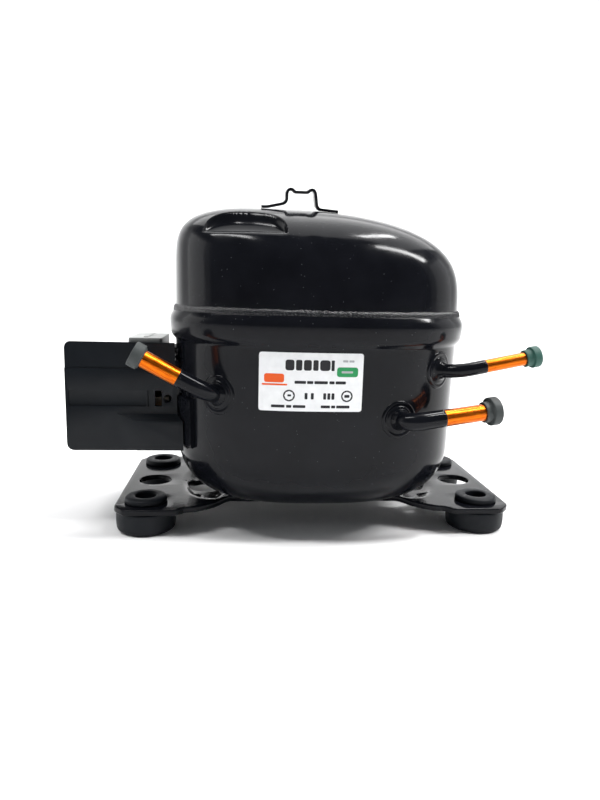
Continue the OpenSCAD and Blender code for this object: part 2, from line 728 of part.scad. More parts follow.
// Suction chamber on the tube side, discharge chamber behind it
module head_pockets(x, len) {
    for (y = [-15, 1.2]) translate([x, y, cyl_z - 10]) cube([len, 13.8, 20]);
}
module cylinder_head() {
    face = plate_x - 0.5;
    color("#8f9296") difference() {
        head_slab(head_x, face - head_x);
        head_pockets(face - 9, 12);
        head_holes(head_x - 1, 20, 2.1);
        for (y = [-1, 1]) translate([face - 5, y*10, cyl_z]) rotate([-90*y, 0, 0]) cylinder(r = 3, h = 12);
    }
}
module head_bolts() {
    for (y = [-head_bolt, head_bolt], z = [-head_bolt, head_bolt])
        color("#55585c") translate([head_x, y, cyl_z + z]) rotate([0, 90, 0]) {
            cylinder(r = 2, h = -head_x + block_x + 9);
            translate([0, 0, -3.2]) difference() {
                cylinder(r = 3.4, h = 3.2);
                translate([0, 0, -1]) cylinder(r = 1.6, h = 2.8, $fn = 6);
            }
        }
}

module suction_muffler() {
    color("#e4dfcf") difference() {
        union() {
            translate([-52, -38, plate_top + 1]) cube([28, 16.5, 24]);
            translate([-59, -27, cyl_z - 6]) cube([9, 8.95, 12]);
        }
        translate([-50, -36, plate_top + 3]) cube([24, 12.5, 20]);
        translate([plate_x - 5.5, -25, cyl_z]) rotate([-90, 0, 0]) cylinder(r = 3, h = 20);
        translate([plate_x - 5.5, -25, cyl_z]) rotate([0, 90, 0]) cylinder(r = 2.6, h = 8);
        translate([-36, -45, plate_top + 8]) rotate([-90, 0, 0]) cylinder(r = 3.5, h = 12);
    }
}
module discharge_muffler() {
    color(STEEL) translate([24, 36, plate_top]) difference() {
        rotate_extrude() polygon([[0, 0], [11, 0], [12, 1], [12, 12], [10, 15], [6, 16], [0, 16]]);
        translate([0, 0, 1.5]) cylinder(r = 10, h = 10);
        translate([0, 0, 10]) cylinder(r = 1.5, h = 10);
    }
}
LOOP_ROUTE = [
    [52.8, -45.5, 83.6], [51.8, -43.9, 84.4], [52, -41, 88], [57, -28, 94], [61, -14, 99], [62, 0, 104],
    [59, 14, 112], [52, 26, 120], [42, 34, 127], [31, 37, 129.5], [24.6, 36.2, 126.5], [24, 36, 122.3]
];
module discharge_loop() { color(COPPER) rod(spline(LOOP_ROUTE, 3), 2.3); }

module stator_core() {
    color("#5d6166") difference() {
        translate([0, 0, stack_z]) linear_extrude(stack_h) polygon([for (sx = [-1, 1]) each
            let (
                a = [sx*(stack_half_x - stack_cut), -sx*stack_half_y],
                b = [sx*stack_half_x, -sx*(stack_half_y - stack_cut)]
            )
            [a, b, [b.x, -b.y], [a.x, -a.y]]]);
        translate([0, 0, stack_z - 1]) {
            cylinder(r = rotor_r + air_gap, h = stack_h + 2);
            for (i = [0:slot_n - 1]) rotate(360*(i + 0.5)/slot_n) {
                translate([29.6, -2.1, 0]) cube([11.4, 4.2, stack_h + 2]);
                translate([26, -1, 0]) cube([5, 2, stack_h + 2]);
            }
            for (x = [-bolt_x, bolt_x], y = [-bolt_y, bolt_y])
                translate([x, y, 0]) cylinder(r = 2.6, h = stack_h + 2);
        }
    }
}
module winding_ring(z) {
    translate([0, 0, z]) difference() {
        cylinder(r = winding_r, h = winding_h);
        translate([0, 0, -1]) cylinder(r = 30, h = winding_h + 2);
    }
}
module stator_winding() {
    color("#b5651d") {
        winding_ring(stack_z - winding_h);
        winding_ring(stack_top);
        for (i = [0:slot_n - 1]) rotate(360*(i + 0.5)/slot_n)
            translate([30.4, -2, stack_z - 1]) cube([10.4, 4, stack_h + 2]);
    }
}
module stator_bolts() {
    for (x = [-bolt_x, bolt_x], y = [-bolt_y, bolt_y]) color("#55585c") translate([x, y, 0]) {
        translate([0, 0, stack_z]) cylinder(r = 2.5, h = stack_h + 11.5);
        translate([0, 0, stack_z - 4]) cylinder(r = 4.5, h = 4);
    }
}
module spring_cups() {
    for (x = [-bolt_x, bolt_x], y = [-bolt_y, bolt_y]) color("#3a3d40") translate([x, y, 0])
        rotate_extrude() polygon([
            [0, 33.5], [4.7, 33.5], [4.7, spring_top + 0.1], [7, spring_top + 0.1], [7, stack_z - 0.2],
            [4.55, stack_z - 0.2], [4.55, stack_z - 4], [0, stack_z - 4]
        ]);
}
module spring_rails() {
    for (sx = [-1, 1]) color(STEEL) {
        translate([sx*bolt_x - 7, -bolt_y, rail_top - 3]) cube([14, 2*bolt_y, 3]);
        for (sy = [-1, 1]) {
            translate([sx*bolt_x, sy*bolt_y, rail_top - 3]) cylinder(r = 7, h = 3);
            translate([sx*bolt_x, sy*bolt_y, rail_top - 1]) cylinder(r = 4.7, h = 6);
            translate([sx*36 - 4, sy*15 - 4, shell_z + sheet + 0.02])
                cube([8, 8, rail_top - 2 - shell_z - sheet]);
        }
    }
}

// Coil spring whose first and last three quarters of a turn lie flat
module spring(sx, sy) {
    low = rail_top + spring_wire_r + 0.02;
    high = spring_top - spring_wire_r;
    steps = 66;
    flat = 0.75;
    path = [for (i = [0:steps])
        let (turn = spring_turns*i/steps, climb = (turn - flat)/(spring_turns - 2*flat))
        [360*turn, low + (high - low)*min(1, max(0, climb))]];
    rings = [for (p = path)
        [for (k = [0:5]) let (r = spring_mean_r + spring_wire_r*cos(60*k))
            [sx*bolt_x + r*cos(p.x), sy*bolt_y + r*sin(p.x), p.y + spring_wire_r*sin(60*k)]]];
    color(STEEL) skin([for (i = [steps:-1:0]) rings[i]]);
}
module spring_front_left() { spring(-1, -1); }
module spring_front_right() { spring(1, -1); }
module spring_rear_left() { spring(-1, 1); }
module spring_rear_right() { spring(1, 1); }

module crankshaft() {
    color("#8a8d91") difference() {
        union() {
            translate([0, 0, shaft_foot]) cylinder(r = shaft_r, h = web_z - shaft_foot + 1);
            translate([0, 0, web_z]) cylinder(r = 17, h = web_top - web_z);
            translate([-crank_r, 0, web_top - 1]) cylinder(d = pin_d, h = cyl_z + pin_over - web_top + 1);
        }
        translate([-crank_r/2, 0, shaft_foot - 1]) cylinder(r = 2.5 + run_gap, h = 4.5);
    }
}
module gallery_plug() {
    color("#c7b26a") translate([-crank_r/2, 0, shaft_foot + 0.2]) cylinder(r = 2.5, h = 3);
}
module oil_pickup() {
    color(STEEL) rotate_extrude() polygon([
        [3.5, 20], [5, 20], [8, shaft_foot], [6.4, shaft_foot], [6.4, shaft_foot - 0.6]
    ]);
}
module rotor_core() {
    color("#54585d") translate([0, 0, stack_z]) difference() {
        cylinder(r = rotor_r, h = stack_h);
        translate([0, 0, -1]) cylinder(r = shaft_r, h = stack_h + 2);
        for (i = [0:bar_n - 1]) rotate(360*i/bar_n) translate([23.5, 0, -1]) cylinder(r = 2, h = stack_h + 2);
    }
}
module rotor_cage() {
    color("#b4b7ba") {
        for (z = [stack_z - 8, stack_top]) translate([0, 0, z]) difference() {
            cylinder(r = 27, h = 8);
            translate([0, 0, -1]) cylinder(r = 18, h = 10);
        }
        for (i = [0:bar_n - 1]) rotate(360*i/bar_n) translate([23.5, 0, stack_z - 1])
            cylinder(r = 2, h = stack_h + 2);
    }
}
module rotor_weight() {
    color("#77797c") translate([0, 0, stack_top + 8]) rotate([0, 0, -75]) rotate_extrude(angle = 150)
        translate([18.5, 0]) square([8.3, 4]);
}

module slider() {
    color("#a7aaad") translate([-crank_r, 0, cyl_z]) difference() {
        rotate([90, 0, 0]) translate([0, 0, -12]) cylinder(r = slider_r, h = 24);
        translate([0, 0, -12]) cylinder(r = pin_d/2 + run_gap, h = 24);
    }
}
module piston() {
    crown_x = block_x + 0.7;
    slot_r = pin_d/2 + 0.5;
    color("#babdc1") difference() {
        union() {
            on_cylinder(crown_x) cylinder(d = bore_d - 0.02, h = -crown_x - crank_r - 6);
            translate([-crank_r, slide_half, cyl_z]) rotate([90, 0, 0])
                cylinder(r = slide_r, h = 2*slide_half);
        }
        translate([-crank_r, slide_half + 1, cyl_z]) rotate([90, 0, 0])
            cylinder(r = slide_bore_r, h = 2*slide_half + 2);
        for (x = [6, 11]) on_cylinder(crown_x + x) difference() {
            cylinder(r = bore_d/2 + 1, h = 1);
            translate([0, 0, -1]) cylinder(r = bore_d/2 - 0.7, h = 3);
        }
        // slot that the crank pin passes through, and the relief under the suction reed
        translate([-crank_r, 0, cyl_z - 20]) {
            for (y = [-crank_r - 1, crank_r + 1]) translate([0, y, 0]) cylinder(r = slot_r, h = 20);
            translate([-slot_r, -crank_r - 1, 0]) cube([2*slot_r, 2*crank_r + 2, 20]);
        }
        translate([crown_x - 1, -8.5, cyl_z - 8.5]) cube([2.2, 8, 17.5]);
    }
}

lower_shell();
upper_shell();
shell_weld();
left_foot();
right_foot();
grommet_front_left();
grommet_front_right();
grommet_rear_left();
grommet_rear_right();
tray_bracket();
rating_label();
suction_tube();
process_tube();
discharge_tube();
tube_collars();
suction_cap();
process_cap();
discharge_cap();
terminal_cup();
terminal_glass();
terminal_pins();
cover_bracket();
terminal_cover();
cable_lid();
run_capacitor();
ptc_starter();
overload_protector();
inner_connector();
motor_leads();
cylinder_block();
thrust_washer();
cylinder_head();
head_gasket();
valve_plate();
valve_gasket();
suction_reed();
discharge_reed();
reed_stop();
head_bolts();
suction_muffler();
discharge_muffler();
discharge_loop();
stator_core();
stator_winding();
stator_bolts();
spring_cups();
spring_rails();
spring_front_left();
spring_front_right();
spring_rear_left();
spring_rear_right();
crankshaft();
rotor_core();
rotor_cage();
rotor_weight();
oil_pickup();
gallery_plug();
slider();
piston();
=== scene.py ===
"""A hermetic reciprocating compressor: its visible pieces and materials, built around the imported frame.

Lengths in this script are millimetres until build() writes a mesh, which is in metres.
"""

import json
import random
from math import copysign, cos, hypot, pi, radians, sin, sqrt

import bmesh
import bpy
from mathutils import Matrix, Vector


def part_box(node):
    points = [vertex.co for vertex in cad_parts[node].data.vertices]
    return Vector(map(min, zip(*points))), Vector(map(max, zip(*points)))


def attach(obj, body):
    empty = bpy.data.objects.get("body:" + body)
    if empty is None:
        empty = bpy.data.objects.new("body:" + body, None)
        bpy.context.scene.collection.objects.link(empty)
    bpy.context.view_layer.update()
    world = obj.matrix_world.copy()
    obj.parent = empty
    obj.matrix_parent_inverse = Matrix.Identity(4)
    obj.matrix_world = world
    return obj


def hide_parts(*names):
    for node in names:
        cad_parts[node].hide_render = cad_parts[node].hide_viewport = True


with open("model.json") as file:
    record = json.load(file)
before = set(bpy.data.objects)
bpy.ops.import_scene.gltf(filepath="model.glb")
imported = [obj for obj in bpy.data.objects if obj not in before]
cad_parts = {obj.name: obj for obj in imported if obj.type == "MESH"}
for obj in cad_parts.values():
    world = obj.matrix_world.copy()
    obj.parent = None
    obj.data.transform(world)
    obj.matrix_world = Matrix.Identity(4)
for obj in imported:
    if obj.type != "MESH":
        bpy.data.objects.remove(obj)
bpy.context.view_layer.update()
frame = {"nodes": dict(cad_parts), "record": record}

MM = 0.001
UP = Vector((0, 0, 1))


def add_object(name, data):
    made = bpy.data.objects.new(name, data)
    bpy.context.scene.collection.objects.link(made)
    return made


# ---- camera


def make_camera():
    """The camera stands a little left of the middle, 12 cm up, and looks slightly down."""
    place = Vector((-0.03766, -0.33931, 0.12017))
    yaw, pitch, roll = radians(-5.402), radians(-10.086), radians(-1.542)
    lens_pixels, frame_height, sensor = 623.43, 800, 36.0
    data = bpy.data.cameras.new("camera")
    data.sensor_width = sensor
    data.lens = lens_pixels / frame_height * sensor
    camera = add_object("camera", data)
    turn = Matrix.Rotation(yaw, 4, "Z") @ Matrix.Rotation(pitch, 4, "X") @ Matrix.Rotation(roll, 4, "Y")
    camera.matrix_world = Matrix.Translation(place) @ turn @ Matrix.Rotation(pi / 2, 4, "X")
    bpy.context.scene.camera = camera


make_camera()


# ---- sizes read from the frame


def box_mm(node):
    low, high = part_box(node)
    return low / MM, high / MM


def mount(name):
    """Place in millimetres and direction of one of the part's mounts."""
    found = next(m for m in frame["record"]["mounts"] if m["name"] == name)
    return Vector(found["pos_m"]) / MM, Vector(found["axis"]).normalized()


upper_low, upper_high = box_mm("upper_shell")
lower_low, lower_high = box_mm("lower_shell")
weld_low, weld_high = box_mm("shell_weld")
SHELL_X = (upper_low.x + upper_high.x) / 2
UPPER_HALF = (upper_high.x - upper_low.x) / 2
SHELL_FLAT = UPPER_HALF - (upper_high.y - upper_low.y) / 2
SHELL_HALF = UPPER_HALF + 0.1
BELT_HALF = (lower_high.x - lower_low.x) / 2
SHELL_Z = lower_low.z
RIM_Z = lower_high.z
DOME_Z = upper_high.z
# squareness of the shell's plan, sheet thickness and the fillet under the wall
PLAN_POWER = 2.6
SHEET = 3.0
FILLET = 28.0
WALL_LOW = SHELL_HALF - 1.0
FILLET_TOP = SHELL_Z + FILLET
# where the belt starts up the wall, and where the dome is highest
BELT_Z = 93.0
APEX_X = -32.4


# ---- shapes


def spow(value, power):
    """A power that keeps its sign, for the superellipse."""
    return copysign(abs(value) ** power, value)


def smooth(value):
    c = min(1.0, max(0.0, value))
    return c * c * (3 - 2 * c)


def plan_point(half, degrees):
    t = radians(degrees)
    x = SHELL_X + half * spow(cos(t), 2 / PLAN_POWER)
    return x, (half - SHELL_FLAT) * spow(sin(t), 2 / PLAN_POWER)


def wall_half(z):
    """Half width of the lower shell's outside at height z."""
    if z < FILLET_TOP:
        rise = FILLET_TOP - z
        return WALL_LOW - FILLET + sqrt(max(0.0, FILLET**2 - rise**2))
    return WALL_LOW + (SHELL_HALF - WALL_LOW) * (z - FILLET_TOP) / (BELT_Z - FILLET_TOP)


def oval(half, z, angles):
    """A ring of points at height z on the shell's plan shape."""
    return [Vector((*plan_point(half, t), z)) for t in angles]


def in_plan(x, y, half):
    """Whether a point lies inside the shell's plan shape of a half width."""
    return (abs(x - SHELL_X) / half) ** PLAN_POWER + (abs(y) / (half - SHELL_FLAT)) ** PLAN_POWER < 1


def furthest(holds, low, high, rounds):
    """The largest value between low and high that still holds, found by halving."""
    for _ in range(rounds):
        middle = (low + high) / 2
        low, high = (middle, high) if holds(middle) else (low, middle)
    return low


def on_wall(p, outwards):
    """The point where the line through p along outwards leaves the lower shell, within 12 mm."""
    def inside(reach):
        q = p + reach * outwards
        return in_plan(q.x, q.y, wall_half(q.z))

    return p + furthest(inside, -12.0, 12.0, 24) * outwards


def turned(radius, turns):
    """A point on a circle, a share of a turn around it."""
    return radius * cos(2 * pi * turns), radius * sin(2 * pi * turns)


def arc_point(a, corner, b, u):
    """A point of the curve that rounds a corner from a to b."""
    return (1 - u) ** 2 * a + 2 * u * (1 - u) * corner + u * u * b


def ring_faces(rows, count, wrap=False):
    """Quads between equal rings of points; wrap joins the last ring to the first."""
    faces = []
    for row in range(rows if wrap else rows - 1):
        after = (row + 1) % rows
        for i in range(count):
            j = (i + 1) % count
            faces.append((row * count + i, row * count + j, after * count + j, after * count + i))
    return faces


def face_outwards(mesh):
    work = bmesh.new()
    work.from_mesh(mesh)
    bmesh.ops.recalc_face_normals(work, faces=work.faces)
    work.to_mesh(mesh)
    work.free()


def finish_mesh(mesh, material, sharp):
    """Gives a mesh its material and keeps edges sharper than an angle in degrees."""
    mesh.shade_smooth()
    mesh.set_sharp_from_angle(angle=radians(sharp))
    mesh.materials.clear()
    mesh.materials.append(material)


def dress(piece, body, material, nodes, sharp):
    """Shades a piece, puts it on a CAD body and hides the CAD nodes it stands for."""
    face_outwards(piece.data)
    finish_mesh(piece.data, material, sharp)
    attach(piece, body)
    if nodes:
        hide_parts(*nodes)


def build(name, points, faces):
    """A mesh object from points in millimetres."""
    mesh = bpy.data.meshes.new(name)
    mesh.from_pydata([Vector(p) * MM for p in points], [], faces)
    return add_object(name, mesh)


def enamelled(piece, nodes, sharp):
    """A piece of the shell in its own paint."""
    dress(piece, "shell", ENAMEL, nodes, sharp)


def from_rings(name, rings, wrap=False):
    """A closed piece from rings of points: its ends are closed with a fan, or joined if wrap is true."""
    count = len(rings[0])
    points = [p for ring in rings for p in ring]
    faces = ring_faces(len(rings), count, wrap)
    if not wrap:
        for start in (0, (len(rings) - 1) * count):
            middle = sum((Vector(p) for p in points[start:start + count]), Vector()) / count
            points.append(middle)
            centre = len(points) - 1
            faces += [(centre, start + i, start + (i + 1) % count) for i in range(count)]
    return build(name, points, faces)


def rounded(profile, radii, steps=4):
    """An outline with its corners rounded; radii gives each corner's radius, 0 for a sharp one."""
    made = []
    for i, (corner, radius) in enumerate(zip(profile, radii)):
        p = Vector(corner)
        if not radius:
            made.append(p)
            continue
        before, after = Vector(profile[i - 1]) - p, Vector(profile[(i + 1) % len(profile)]) - p
        reach = min(radius, before.length * 0.49, after.length * 0.49)
        a, b = p + before.normalized() * reach, p + after.normalized() * reach
        made += [arc_point(a, p, b, k / steps) for k in range(steps + 1)]
    return made


def rectangle(x0, x1, y0, y1):
    return [(x0, y0), (x1, y0), (x1, y1), (x0, y1)]


def lathe(name, profile, place, sides):
    """Turns an outline of (radius, height) points around the Z axis of place."""
    rings = [
        [place @ Vector((*turned(radius, i / sides), height)) for i in range(sides)]
        for radius, height in profile
    ]
    hollow = min(p[0] for p in profile) > 0.01
    return from_rings(name, rings, wrap=hollow)


def frame_along(origin, axis):
    """A placement whose Z axis lies along axis, with its X axis level."""
    z = axis.normalized()
    x = UP.cross(z).normalized()
    turn = Matrix((x, z.cross(x), z)).transposed().to_4x4()
    return Matrix.Translation(origin) @ turn


def evaluated_mesh(piece):
    bpy.context.view_layer.update()
    return bpy.data.meshes.new_from_object(piece.evaluated_get(bpy.context.evaluated_depsgraph_get()))


def apply_modifiers(piece):
    """Bakes a piece's modifiers into its mesh."""
    mesh = evaluated_mesh(piece)
    piece.modifiers.clear()
    piece.data = mesh


def bevel(piece, width, angle):
    modifier = piece.modifiers.new("bevel", "BEVEL")
    modifier.width = width * MM
    modifier.segments = 2
    modifier.limit_method = "ANGLE"
    modifier.angle_limit = radians(angle)
    apply_modifiers(piece)


def combine(piece, tools, operation):
    """Joins pieces to a piece, or cuts them out of it, and removes them."""
    for tool in tools:
        modifier = piece.modifiers.new("combine", "BOOLEAN")
        modifier.operation = operation
        modifier.solver = "EXACT"
        modifier.object = tool
    apply_modifiers(piece)
    for tool in tools:
        bpy.data.objects.remove(tool)


def join(name, parts):
    """One piece from several meshes."""
    work = bmesh.new()
    for part in parts:
        work.from_mesh(part.data)
        bpy.data.objects.remove(part)
    mesh = bpy.data.meshes.new(name)
    work.to_mesh(mesh)
    work.free()
    return add_object(name, mesh)


def prism(name, outline, low, high, axis="Z"):
    """A solid with the given outline between two heights along an axis."""
    def place(p, h):
        at = [p[0], p[1]]
        at.insert("XYZ".index(axis), h)
        return at

    count = len(outline)
    points = [place(p, low) for p in outline] + [place(p, high) for p in outline]
    faces = [tuple(range(count)), tuple(range(2 * count - 1, count - 1, -1))]
    faces += [(i, (i + 1) % count, count + (i + 1) % count, count + i) for i in range(count)]
    piece = build(name, points, faces)
    face_outwards(piece.data)
    return piece


def block(name, low, high):
    """A box between two corners, used as a cutter or as a start."""
    return prism(name, rectangle(low[0], high[0], low[1], high[1]), low[2], high[2])


def disc(x, y, radius, sides=48):
    spokes = [turned(radius, i / sides) for i in range(sides)]
    return [(x + across, y + along) for across, along in spokes]


# ---- materials


class Look:
    """A procedural material: textures vary its colour, roughness and surface."""

    def __init__(self, name, metallic=0.0, coat=0.0, coat_roughness=0.03, specular=0.5):
        self.material = bpy.data.materials.new(name)
        self.material.use_nodes = True
        self.tree = self.material.node_tree
        self.shader = self.tree.nodes["Principled BSDF"]
        for key, value in (
            ("Metallic", metallic), ("Coat Weight", coat), ("Coat Roughness", coat_roughness),
            ("Specular IOR Level", specular),
        ):
            self.plug(self.shader.inputs[key], value)
        self.height = None

    def plug(self, socket, value):
        """Links a socket to another one, or gives it a value."""
        if isinstance(value, bpy.types.NodeSocket):
            self.tree.links.new(value, socket)
        else:
            socket.default_value = value

    def node(self, kind, **inputs):
        made = self.tree.nodes.new(kind)
        for key, value in inputs.items():
            self.plug(made.inputs[key.replace("_", " ")], value)
        return made

    def place(self, stretch=(1, 1, 1), kind="Object"):
        """Texture coordinates in metres, or along a tube for kind UV."""
        start = self.node("ShaderNodeTexCoord").outputs[kind]
        return self.node("ShaderNodeMapping", Vector=start, Scale=stretch).outputs["Vector"]

    def noise(self, size, detail=3.0, rough=0.5, stretch=(1, 1, 1), kind="Object", distortion=0.0):
        """Noise whose features are about size millimetres across."""
        made = self.node(
            "ShaderNodeTexNoise", Vector=self.place(stretch, kind), Scale=1 / (size * MM),
            Detail=detail, Roughness=rough, Distortion=distortion,
        )
        return made.outputs["Fac"]

    def cells(self, size):
        made = self.node("ShaderNodeTexVoronoi", Vector=self.place(), Scale=1 / (size * MM))
        return made.outputs["Distance"]

    def bands(self, pitch, distortion):
        """Level bands up the height, pitch millimetres apart."""
        made = self.node(
            "ShaderNodeTexWave", Vector=self.place(), Scale=0.314 / (pitch * MM), Distortion=distortion,
        )
        made.bands_direction = "Z"
        return made.outputs["Fac"]

    def blend(self, factor, stops):
        """A colour that follows factor through (position, colour) stops."""
        made = self.node("ShaderNodeValToRGB", Fac=factor)
        ramp = made.color_ramp
        while len(ramp.elements) < len(stops):
            ramp.elements.new(0.5)
        for element, (position, colour) in zip(ramp.elements, stops):
            element.position = position
            element.color = (*colour, 1)
        return made.outputs["Color"]

    def mix(self, factor, a, b):
        made = self.tree.nodes.new("ShaderNodeMix")
        made.data_type = "RGBA"
        for key, value in (("Factor", factor), ("A", a), ("B", b)):
            socket = next(s for s in made.inputs if s.name == key and s.enabled)
            self.plug(socket, (*value, 1) if isinstance(value, tuple) else value)
        return next(s for s in made.outputs if s.enabled)

    def level(self, factor, low, high, start=0.3, end=0.7):
        """Maps a texture's middle range to low and high."""
        made = self.node(
            "ShaderNodeMapRange", From_Min=start, From_Max=end, To_Min=low, To_Max=high, Value=factor,
        )
        return made.outputs["Result"]

    def colour(self, socket):
        self.plug(self.shader.inputs["Base Color"], socket)

    def roughness(self, socket):
        self.plug(self.shader.inputs["Roughness"], socket)

    def bump(self, height, depth, strength=1.0):
        """Adds relief, depth millimetres high, on top of any relief already there."""
        made = self.node("ShaderNodeBump", Height=height, Strength=strength, Distance=depth * MM)
        if self.height:
            self.tree.links.new(self.height, made.inputs["Normal"])
        self.height = made.outputs["Normal"]
        self.tree.links.new(self.height, self.shader.inputs["Normal"])


def shade(colour, factor):
    return tuple(min(1.0, c * factor) for c in colour)


def enamel(name, grit=0.0, specular=0.14):
    """Gloss black stoving enamel with faint orange peel and dust; grit roughens it over a weld."""
    look = Look(name, specular=specular)
    clouds = look.noise(18, 2)
    dust = look.level(look.cells(2.8), 1, 0, 0.04, 0.07)
    body = look.blend(clouds, [(0.3, (0.0032, 0.0036, 0.0052)), (0.7, (0.0055, 0.0061, 0.0084))])
    look.colour(look.mix(dust, body, (0.10, 0.105, 0.11)))
    look.roughness(look.level(look.noise(9, 4), 0.09, 0.17))
    look.bump(look.noise(2.4, 1), 0.012)
    look.bump(look.noise(45, 1), 0.10)
    if grit:
        look.bump(look.noise(0.9, 4, 0.7), grit)
    return look.material


def copper(name, dark=1.0):
    """Drawn copper under a warm lacquer, with streaks along the tube and patches of darker blush."""
    look = Look(name, metallic=1.0, coat=0.05, coat_roughness=0.15)
    streaks = look.noise(0.7, 5, 0.65, (1.0, 0.06, 1.0), "UV", 0.3)
    stain = look.noise(5, 4, 0.6, kind="UV")
    amber = look.blend(streaks, [
        (0.30, shade((0.36, 0.058, 0.003), dark)), (0.52, shade((0.58, 0.12, 0.004), dark)),
        (0.72, shade((0.80, 0.24, 0.012), dark)),
    ])
    look.colour(look.mix(look.level(stain, 0, 0.55, 0.5, 0.72), amber, shade((0.44, 0.09, 0.02), dark)))
    look.roughness(look.level(streaks, 0.20, 0.42))
    look.bump(streaks, 0.04)
    return look.material


def moulded(name, colour, gloss=0.5, grain=0.25, depth=0.02, tint=0.18, specular=0.5):
    """Moulded plastic or rubber: fine grain, slow colour drift and scuffed roughness."""
    look = Look(name, specular=specular)
    drift = look.noise(22, 3)
    fine = look.noise(grain, 3, 0.6)
    base = look.blend(drift, [(0.32, shade(colour, 1 - tint)), (0.68, shade(colour, 1 + tint))])
    speck = look.level(look.noise(1.1, 4, 0.7), 0, 0.35, 0.60, 0.74)
    look.colour(look.mix(speck, base, shade(colour, 1.7)))
    look.roughness(look.level(look.noise(6, 5, 0.7), gloss * 0.85, gloss * 1.2))
    look.bump(fine, depth)
    return look.material


def machined(name, colour, gloss=0.3, metallic=1.0, grain=0.6, depth=0.02, stretch=(1, 1, 0.15)):
    """Metal with tool marks or casting skin and patches of oil."""
    look = Look(name, metallic=metallic)
    marks = look.noise(grain, 5, 0.65, stretch)
    oil = look.noise(14, 4, 0.6)
    base = look.blend(marks, [(0.3, shade(colour, 0.8)), (0.7, shade(colour, 1.15))])
    look.colour(look.mix(look.level(oil, 0, 0.5, 0.5, 0.75), base, shade(colour, 0.55)))
    look.roughness(look.level(oil, gloss * 1.25, gloss * 0.7))
    look.bump(marks, depth)
    return look.material


def laminated(name, colour, pitch=0.5):
    """A stack of thin sheets, seen as fine lines across its height."""
    look = Look(name, metallic=0.9)
    lines = look.bands(pitch, 0.4)
    rust = look.noise(7, 4, 0.65)
    base = look.blend(lines, [(0.15, shade(colour, 0.45)), (0.6, colour)])
    look.colour(look.mix(look.level(rust, 0, 0.6, 0.55, 0.75), base, (0.20, 0.10, 0.05)))
    look.roughness(look.level(rust, 0.35, 0.55))
    look.bump(lines, 0.06)
    return look.material


def wound(name, colour):
    """Varnished winding wire laid in a ring."""
    look = Look(name, metallic=0.85, coat=0.6, coat_roughness=0.15)
    wires = look.bands(0.8, 6.0)
    drift = look.noise(9, 4)
    base = look.blend(wires, [(0.1, shade(colour, 0.35)), (0.55, colour)])
    look.colour(look.mix(look.level(drift, 0, 0.6), base, shade(colour, 0.6)))
    look.roughness(look.level(drift, 0.25, 0.4))
    look.bump(wires, 0.25)
    return look.material


def sealing_glass(name):
    look = Look(name, coat=0.5)
    look.shader.inputs["Transmission Weight"].default_value = 0.35
    swirl = look.noise(2.5, 4)
    look.colour(look.blend(swirl, [(0.3, (0.02, 0.10, 0.07)), (0.7, (0.06, 0.22, 0.15))]))
    look.roughness(look.level(swirl, 0.05, 0.15))
    look.bump(look.noise(1.2, 2), 0.02)
    return look.material


def printed(name, colour):
    """Satin label film or ink: a faint paper mottle and tiny ink gaps."""
    look = Look(name, specular=0.3)
    mottle = look.noise(3, 4)
    look.colour(look.blend(mottle, [(0.3, shade(colour, 0.95)), (0.7, shade(colour, 1.03))]))
    look.roughness(look.level(look.noise(8, 3), 0.32, 0.45))
    look.bump(look.noise(0.5, 3), 0.004)
    return look.material


ENAMEL = enamel("gloss_enamel")
BEAD = enamel("enamel_over_weld", grit=0.3, specular=0.6)
COPPER = copper("lacquered_copper")
GREY_RUBBER = moulded("grey_cap_rubber", (0.030, 0.036, 0.036), 0.62, 0.4, 0.03)
GREEN_RUBBER = moulded("green_cap_rubber", (0.016, 0.075, 0.058), 0.6, 0.4, 0.03)
FOOT_RUBBER = moulded("grommet_rubber", (0.0068, 0.0084, 0.0112), 0.48, 0.5, 0.03, specular=0.17)
COVER_PLASTIC = moulded("cover_plastic", (0.0052, 0.0068, 0.0092), 0.38, 0.35, 0.02, 0.12, 0.16)
LID_PLASTIC = moulded("lid_plastic", (0.45, 0.46, 0.45), 0.45)
FILM = printed("label_film", (0.86, 0.87, 0.88))
DARK_INK = printed("dark_ink", (0.012, 0.012, 0.015))
GREEN_INK = printed("green_ink", (0.02, 0.28, 0.09))
ORANGE_INK = printed("orange_ink", (0.80, 0.10, 0.008))
PALE_INK = printed("pale_ink", (0.42, 0.43, 0.45))

# what each of the record's slots looks like on the CAD nodes that stay
SLOT_LOOKS = {
    "shell_paint": ENAMEL, "weld_bead": BEAD, "cap_rubber": GREY_RUBBER, "cap_green": GREEN_RUBBER,
    "grommet_rubber": FOOT_RUBBER, "label": FILM, "cover_plastic": COVER_PLASTIC, "lid_plastic": LID_PLASTIC,
    "copper": copper("inner_copper", 0.85),
    "relay_plastic": moulded("cream_plastic", (0.62, 0.57, 0.45), 0.42),
    "protector_plastic": moulded("black_phenolic", (0.016, 0.016, 0.018), 0.25),
    "wire_sleeve": moulded("wire_sleeve", (0.40, 0.05, 0.035), 0.38),
    "gasket": moulded("pressed_fibre", (0.16, 0.19, 0.21), 0.7, 0.5, 0.04),
    "bare_steel": machined("machined_steel", (0.52, 0.53, 0.55), 0.28),
    "spring_steel": machined("spring_steel", (0.42, 0.43, 0.46), 0.25, grain=0.3),
    "cast_iron": machined("cast_iron", (0.15, 0.155, 0.16), 0.5, 0.8, 1.2, 0.12, (1, 1, 1)),
    "aluminium": machined("cast_aluminium", (0.63, 0.64, 0.66), 0.38, 1.0, 0.9, 0.06, (1, 1, 1)),
    "bearing_bronze": machined("bearing_bronze", (0.60, 0.42, 0.18), 0.3),
    "lamination": laminated("blued_laminations", (0.21, 0.22, 0.25)),
    "enamel_wire": wound("varnished_winding", (0.60, 0.22, 0.06)),
    "glass_seal": sealing_glass("fused_glass"),
}


